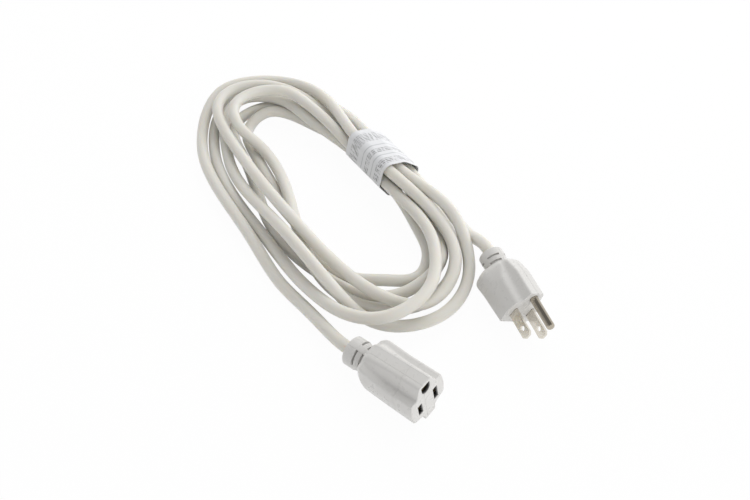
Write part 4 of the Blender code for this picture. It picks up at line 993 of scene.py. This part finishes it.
def build_connector(own_frame, look, front_look):
    """The connector's overmould and its front block with the openings."""
    seam = -FRONT_BLOCK_DEPTH
    x_core = seam - CORE_LENGTH
    sections = connector_sections(fine=True)
    front = [section for section in sections if section[0][0] > seam + SEAT_GAP]
    rear = [section for section in sections if section[0][0] < seam - SEAT_GAP]
    last, first = ([(x, y, z) for _, y, z in rear[0]] for x in (seam, seam - SEAM_GAP))

    body = lofted("connector_moulding", [first] + rear, look)
    x_wires = min(x_core, -CONNECTOR_BARREL - CRIMP_LENGTH) - 3 * SEAT_GAP
    tools = wire_room_tools(core_outline(SEAT_GAP), (seam, x_wires, -CONNECTOR_JACKET),
                            CONNECTOR_LENGTH, CONNECTOR_AXIS)
    tools += collar_slot_tools(CONNECTOR_LENGTH, CONNECTOR_AXIS, CONNECTOR_COLLAR_WALL,
                               CONNECTOR_COLLAR_RIM)
    finish_piece(body, own_frame, "connector_overmould", tools)

    block = lofted("connector_front", front + [last], front_look)
    core = prism_tool(core_outline(), seam + SEAT_GAP, x_core)
    behind = (-FRONT_WALL, x_core - SEAT_GAP)
    rim = 2 * RIM_CHAMFER
    tools = []
    for y, length in ((-BLADE_SPACING / 2, LINE_SLOT_LENGTH),
                      (BLADE_SPACING / 2, NEUTRAL_SLOT_LENGTH)):
        tools.append(opening_tool(box_outline(y, SLOT_WIDTH, length),
                                  box_outline(y, SLOT_WIDTH + rim, length + rim)))
        chamber = box_outline(y, 2 * chamber_half_width(), NEUTRAL_SLOT_LENGTH)
        tools.append(prism_tool(chamber, *behind))
    growth = 1 + rim / GROUND_HOLE_WIDTH
    grown = [(y * growth, GROUND_OFFSET + (z - GROUND_OFFSET) * growth)
             for y, z in ground_opening()]
    tools.append(opening_tool(ground_opening(), grown))
    tools.append(prism_tool(circle(GROUND_OFFSET, SLEEVE_RADIUS + SEAT_GAP), *behind))
    finish_piece(block, own_frame, "connector_front_block", tools, core)


# ==== Carried-over nodes ====

def dress_nodes():
    """Materials of the nodes whose shape stays, with the blades' edges eased."""
    looks = {
        "blade": metal_look("nickel", (0.76, 0.72, 0.65), (0.62, 0.58, 0.50), 0.15),
        "pin": metal_look("pin_nickel", (0.52, 0.47, 0.39), (0.38, 0.34, 0.27), 0.2),
        "block": plain_look("nylon", (0.78, 0.74, 0.62), (0.70, 0.65, 0.52), 0.5),
        "contact": metal_look("brass", (0.60, 0.46, 0.20), (0.45, 0.33, 0.13), 0.34),
        "strands": metal_look("copper", (0.72, 0.38, 0.22), (0.50, 0.24, 0.13), 0.35),
        "line_wire": plain_look("black_insulation", (0.03, 0.03, 0.03), (0.05, 0.05, 0.05)),
        "neutral_wire": plain_look("white_insulation", (0.75, 0.75, 0.73), (0.68, 0.67, 0.64)),
        "ground_wire": plain_look("green_insulation", (0.05, 0.28, 0.08), (0.03, 0.2, 0.05)),
    }
    replaced = ("cord_", "hank_", "plug_overmould", "connector_overmould", "connector_front")
    for name, node in frame["nodes"].items():
        if name.startswith(replaced):
            continue
        look = next(made for ending, made in looks.items() if name.endswith(ending))
        node.data.materials.clear()
        node.data.materials.append(look)
        if name.endswith("blade"):
            edge = node.modifiers.new("edge", "BEVEL")
            edge.width = BLADE_CHAMFER
            edge.segments = 2
            edge.angle_limit = radians(40)


# ==== Stage ====

def seen_white(tree):
    """1 where the camera, a reflection or a transmission looks, else 0."""
    seen = 0.0
    for kind in ("Camera", "Glossy", "Transmission"):
        seen = tree.math("MAXIMUM", seen, tree.add("LightPath", f"Is {kind} Ray"))
    return seen


def build_floor():
    """A matt white surface that looks almost evenly white, whatever light falls on it."""
    bpy.ops.mesh.primitive_plane_add(size=12)
    floor = bpy.context.object
    floor.name = "floor"
    made = bpy.data.materials.new("floor")
    tree = Tree(made)
    shader = tree.nodes["Principled BSDF"]
    tree.feed(shader, {"Base Color": (0.95, 0.95, 0.95, 1), "Roughness": 0.9,
                       "Specular IOR Level": 0.1})
    share = tree.math("MULTIPLY", seen_white(tree), WHITE_SHARE)
    mixed = tree.add("MixShader", 0, {"Fac": share, 1: shader.outputs["BSDF"],
                                      2: tree.add("Emission")})
    tree.feed(tree.nodes["Material Output"], {"Surface": mixed})
    floor.data.materials.append(made)


def build_world():
    """A white tent: bright round the horizon, dimmer overhead, with one opening."""
    world = bpy.data.worlds.new("studio")
    bpy.context.scene.world = world
    tree = Tree(world)
    way = tree.add("TexCoord", "Generated")

    def towards(direction):
        return tree.add("VectorMath", "Value", {0: way, 1: direction.normalized()},
                        operation="DOT_PRODUCT")

    height = tree.add("SeparateXYZ", "Z", {0: way})
    lighting = tree.math("MULTIPLY", tree.ramp(height, 0.0, 0.9, HORIZON_LIGHT, OVERHEAD_LIGHT),
                         tree.ramp(towards(DIM_SIDE), 0.2, 0.95, 1.0, DIM_LIGHT))
    seen = tree.ramp(towards(TENT_OPENING), 0.15, 0.9, 1.0, OPENING_LIGHT)
    strength = tree.add("Mix", "Result", {"Factor": seen_white(tree), "A": lighting, "B": seen},
                        data_type="FLOAT")
    tree.feed(tree.nodes["Background"], {"Color": (1, 1, 1, 1), "Strength": strength})


def aim(thing, place, target):
    """Put a lamp or the camera in its place and turn it to its target."""
    thing.location = place
    thing.rotation_euler = (Vector(target) - Vector(place)).to_track_quat("-Z", "Y").to_euler()


def build_key():
    """A softbox that reflections don't show."""
    light = bpy.data.lights.new("key", "AREA")
    light.shape = "RECTANGLE"
    light.size = light.size_y = KEY_SIZE
    light.energy = KEY_POWER
    key = add_object("key", light)
    key.visible_glossy = False
    aim(key, KEY_PLACE, (0, 0, 0))


def build_camera():
    data = bpy.data.cameras.new("camera")
    data.lens = CAMERA_LENS
    data.sensor_width = SENSOR_WIDTH
    camera = add_object("camera", data)
    aim(camera, CAMERA_PLACE, CAMERA_TARGET)
    bpy.context.scene.camera = camera


def main():
    bpy.context.scene.view_settings.view_transform = "Standard"
    build_camera()
    plug_frame = moulding_frame(PLUG_FACE, (PLUG_YAW, PLUG_ROLL, PLUG_PITCH), plug_sections())
    connector_frame = moulding_frame(
        CONNECTOR_FACE, (CONNECTOR_YAW, CONNECTOR_ROLL, CONNECTOR_PITCH), connector_sections())
    route = cord_route(plug_frame, connector_frame)
    cord, fine = build_cord(route, jacket_look())
    length = float(np.linalg.norm(np.diff(fine, axis=0), axis=1).sum())
    tuple(fine[-1])

    hank = Matrix.Translation((*HANK_OFFSET, 0))
    build_floor()
    build_world()
    build_key()
    build_wrap(hank, route, paper_look())
    build_plug(hank @ plug_frame, vinyl_look("plug_vinyl", PLUG_LINES))
    # The front block's vinyl also has painted shade inside its openings.
    build_connector(hank @ connector_frame, vinyl_look("connector_vinyl", CONNECTOR_LINES),
                    vinyl_look("connector_front_vinyl_painted_shade", CONNECTOR_LINES, SHADE_PAINTED_OPENINGS))
    dress_nodes()


main()
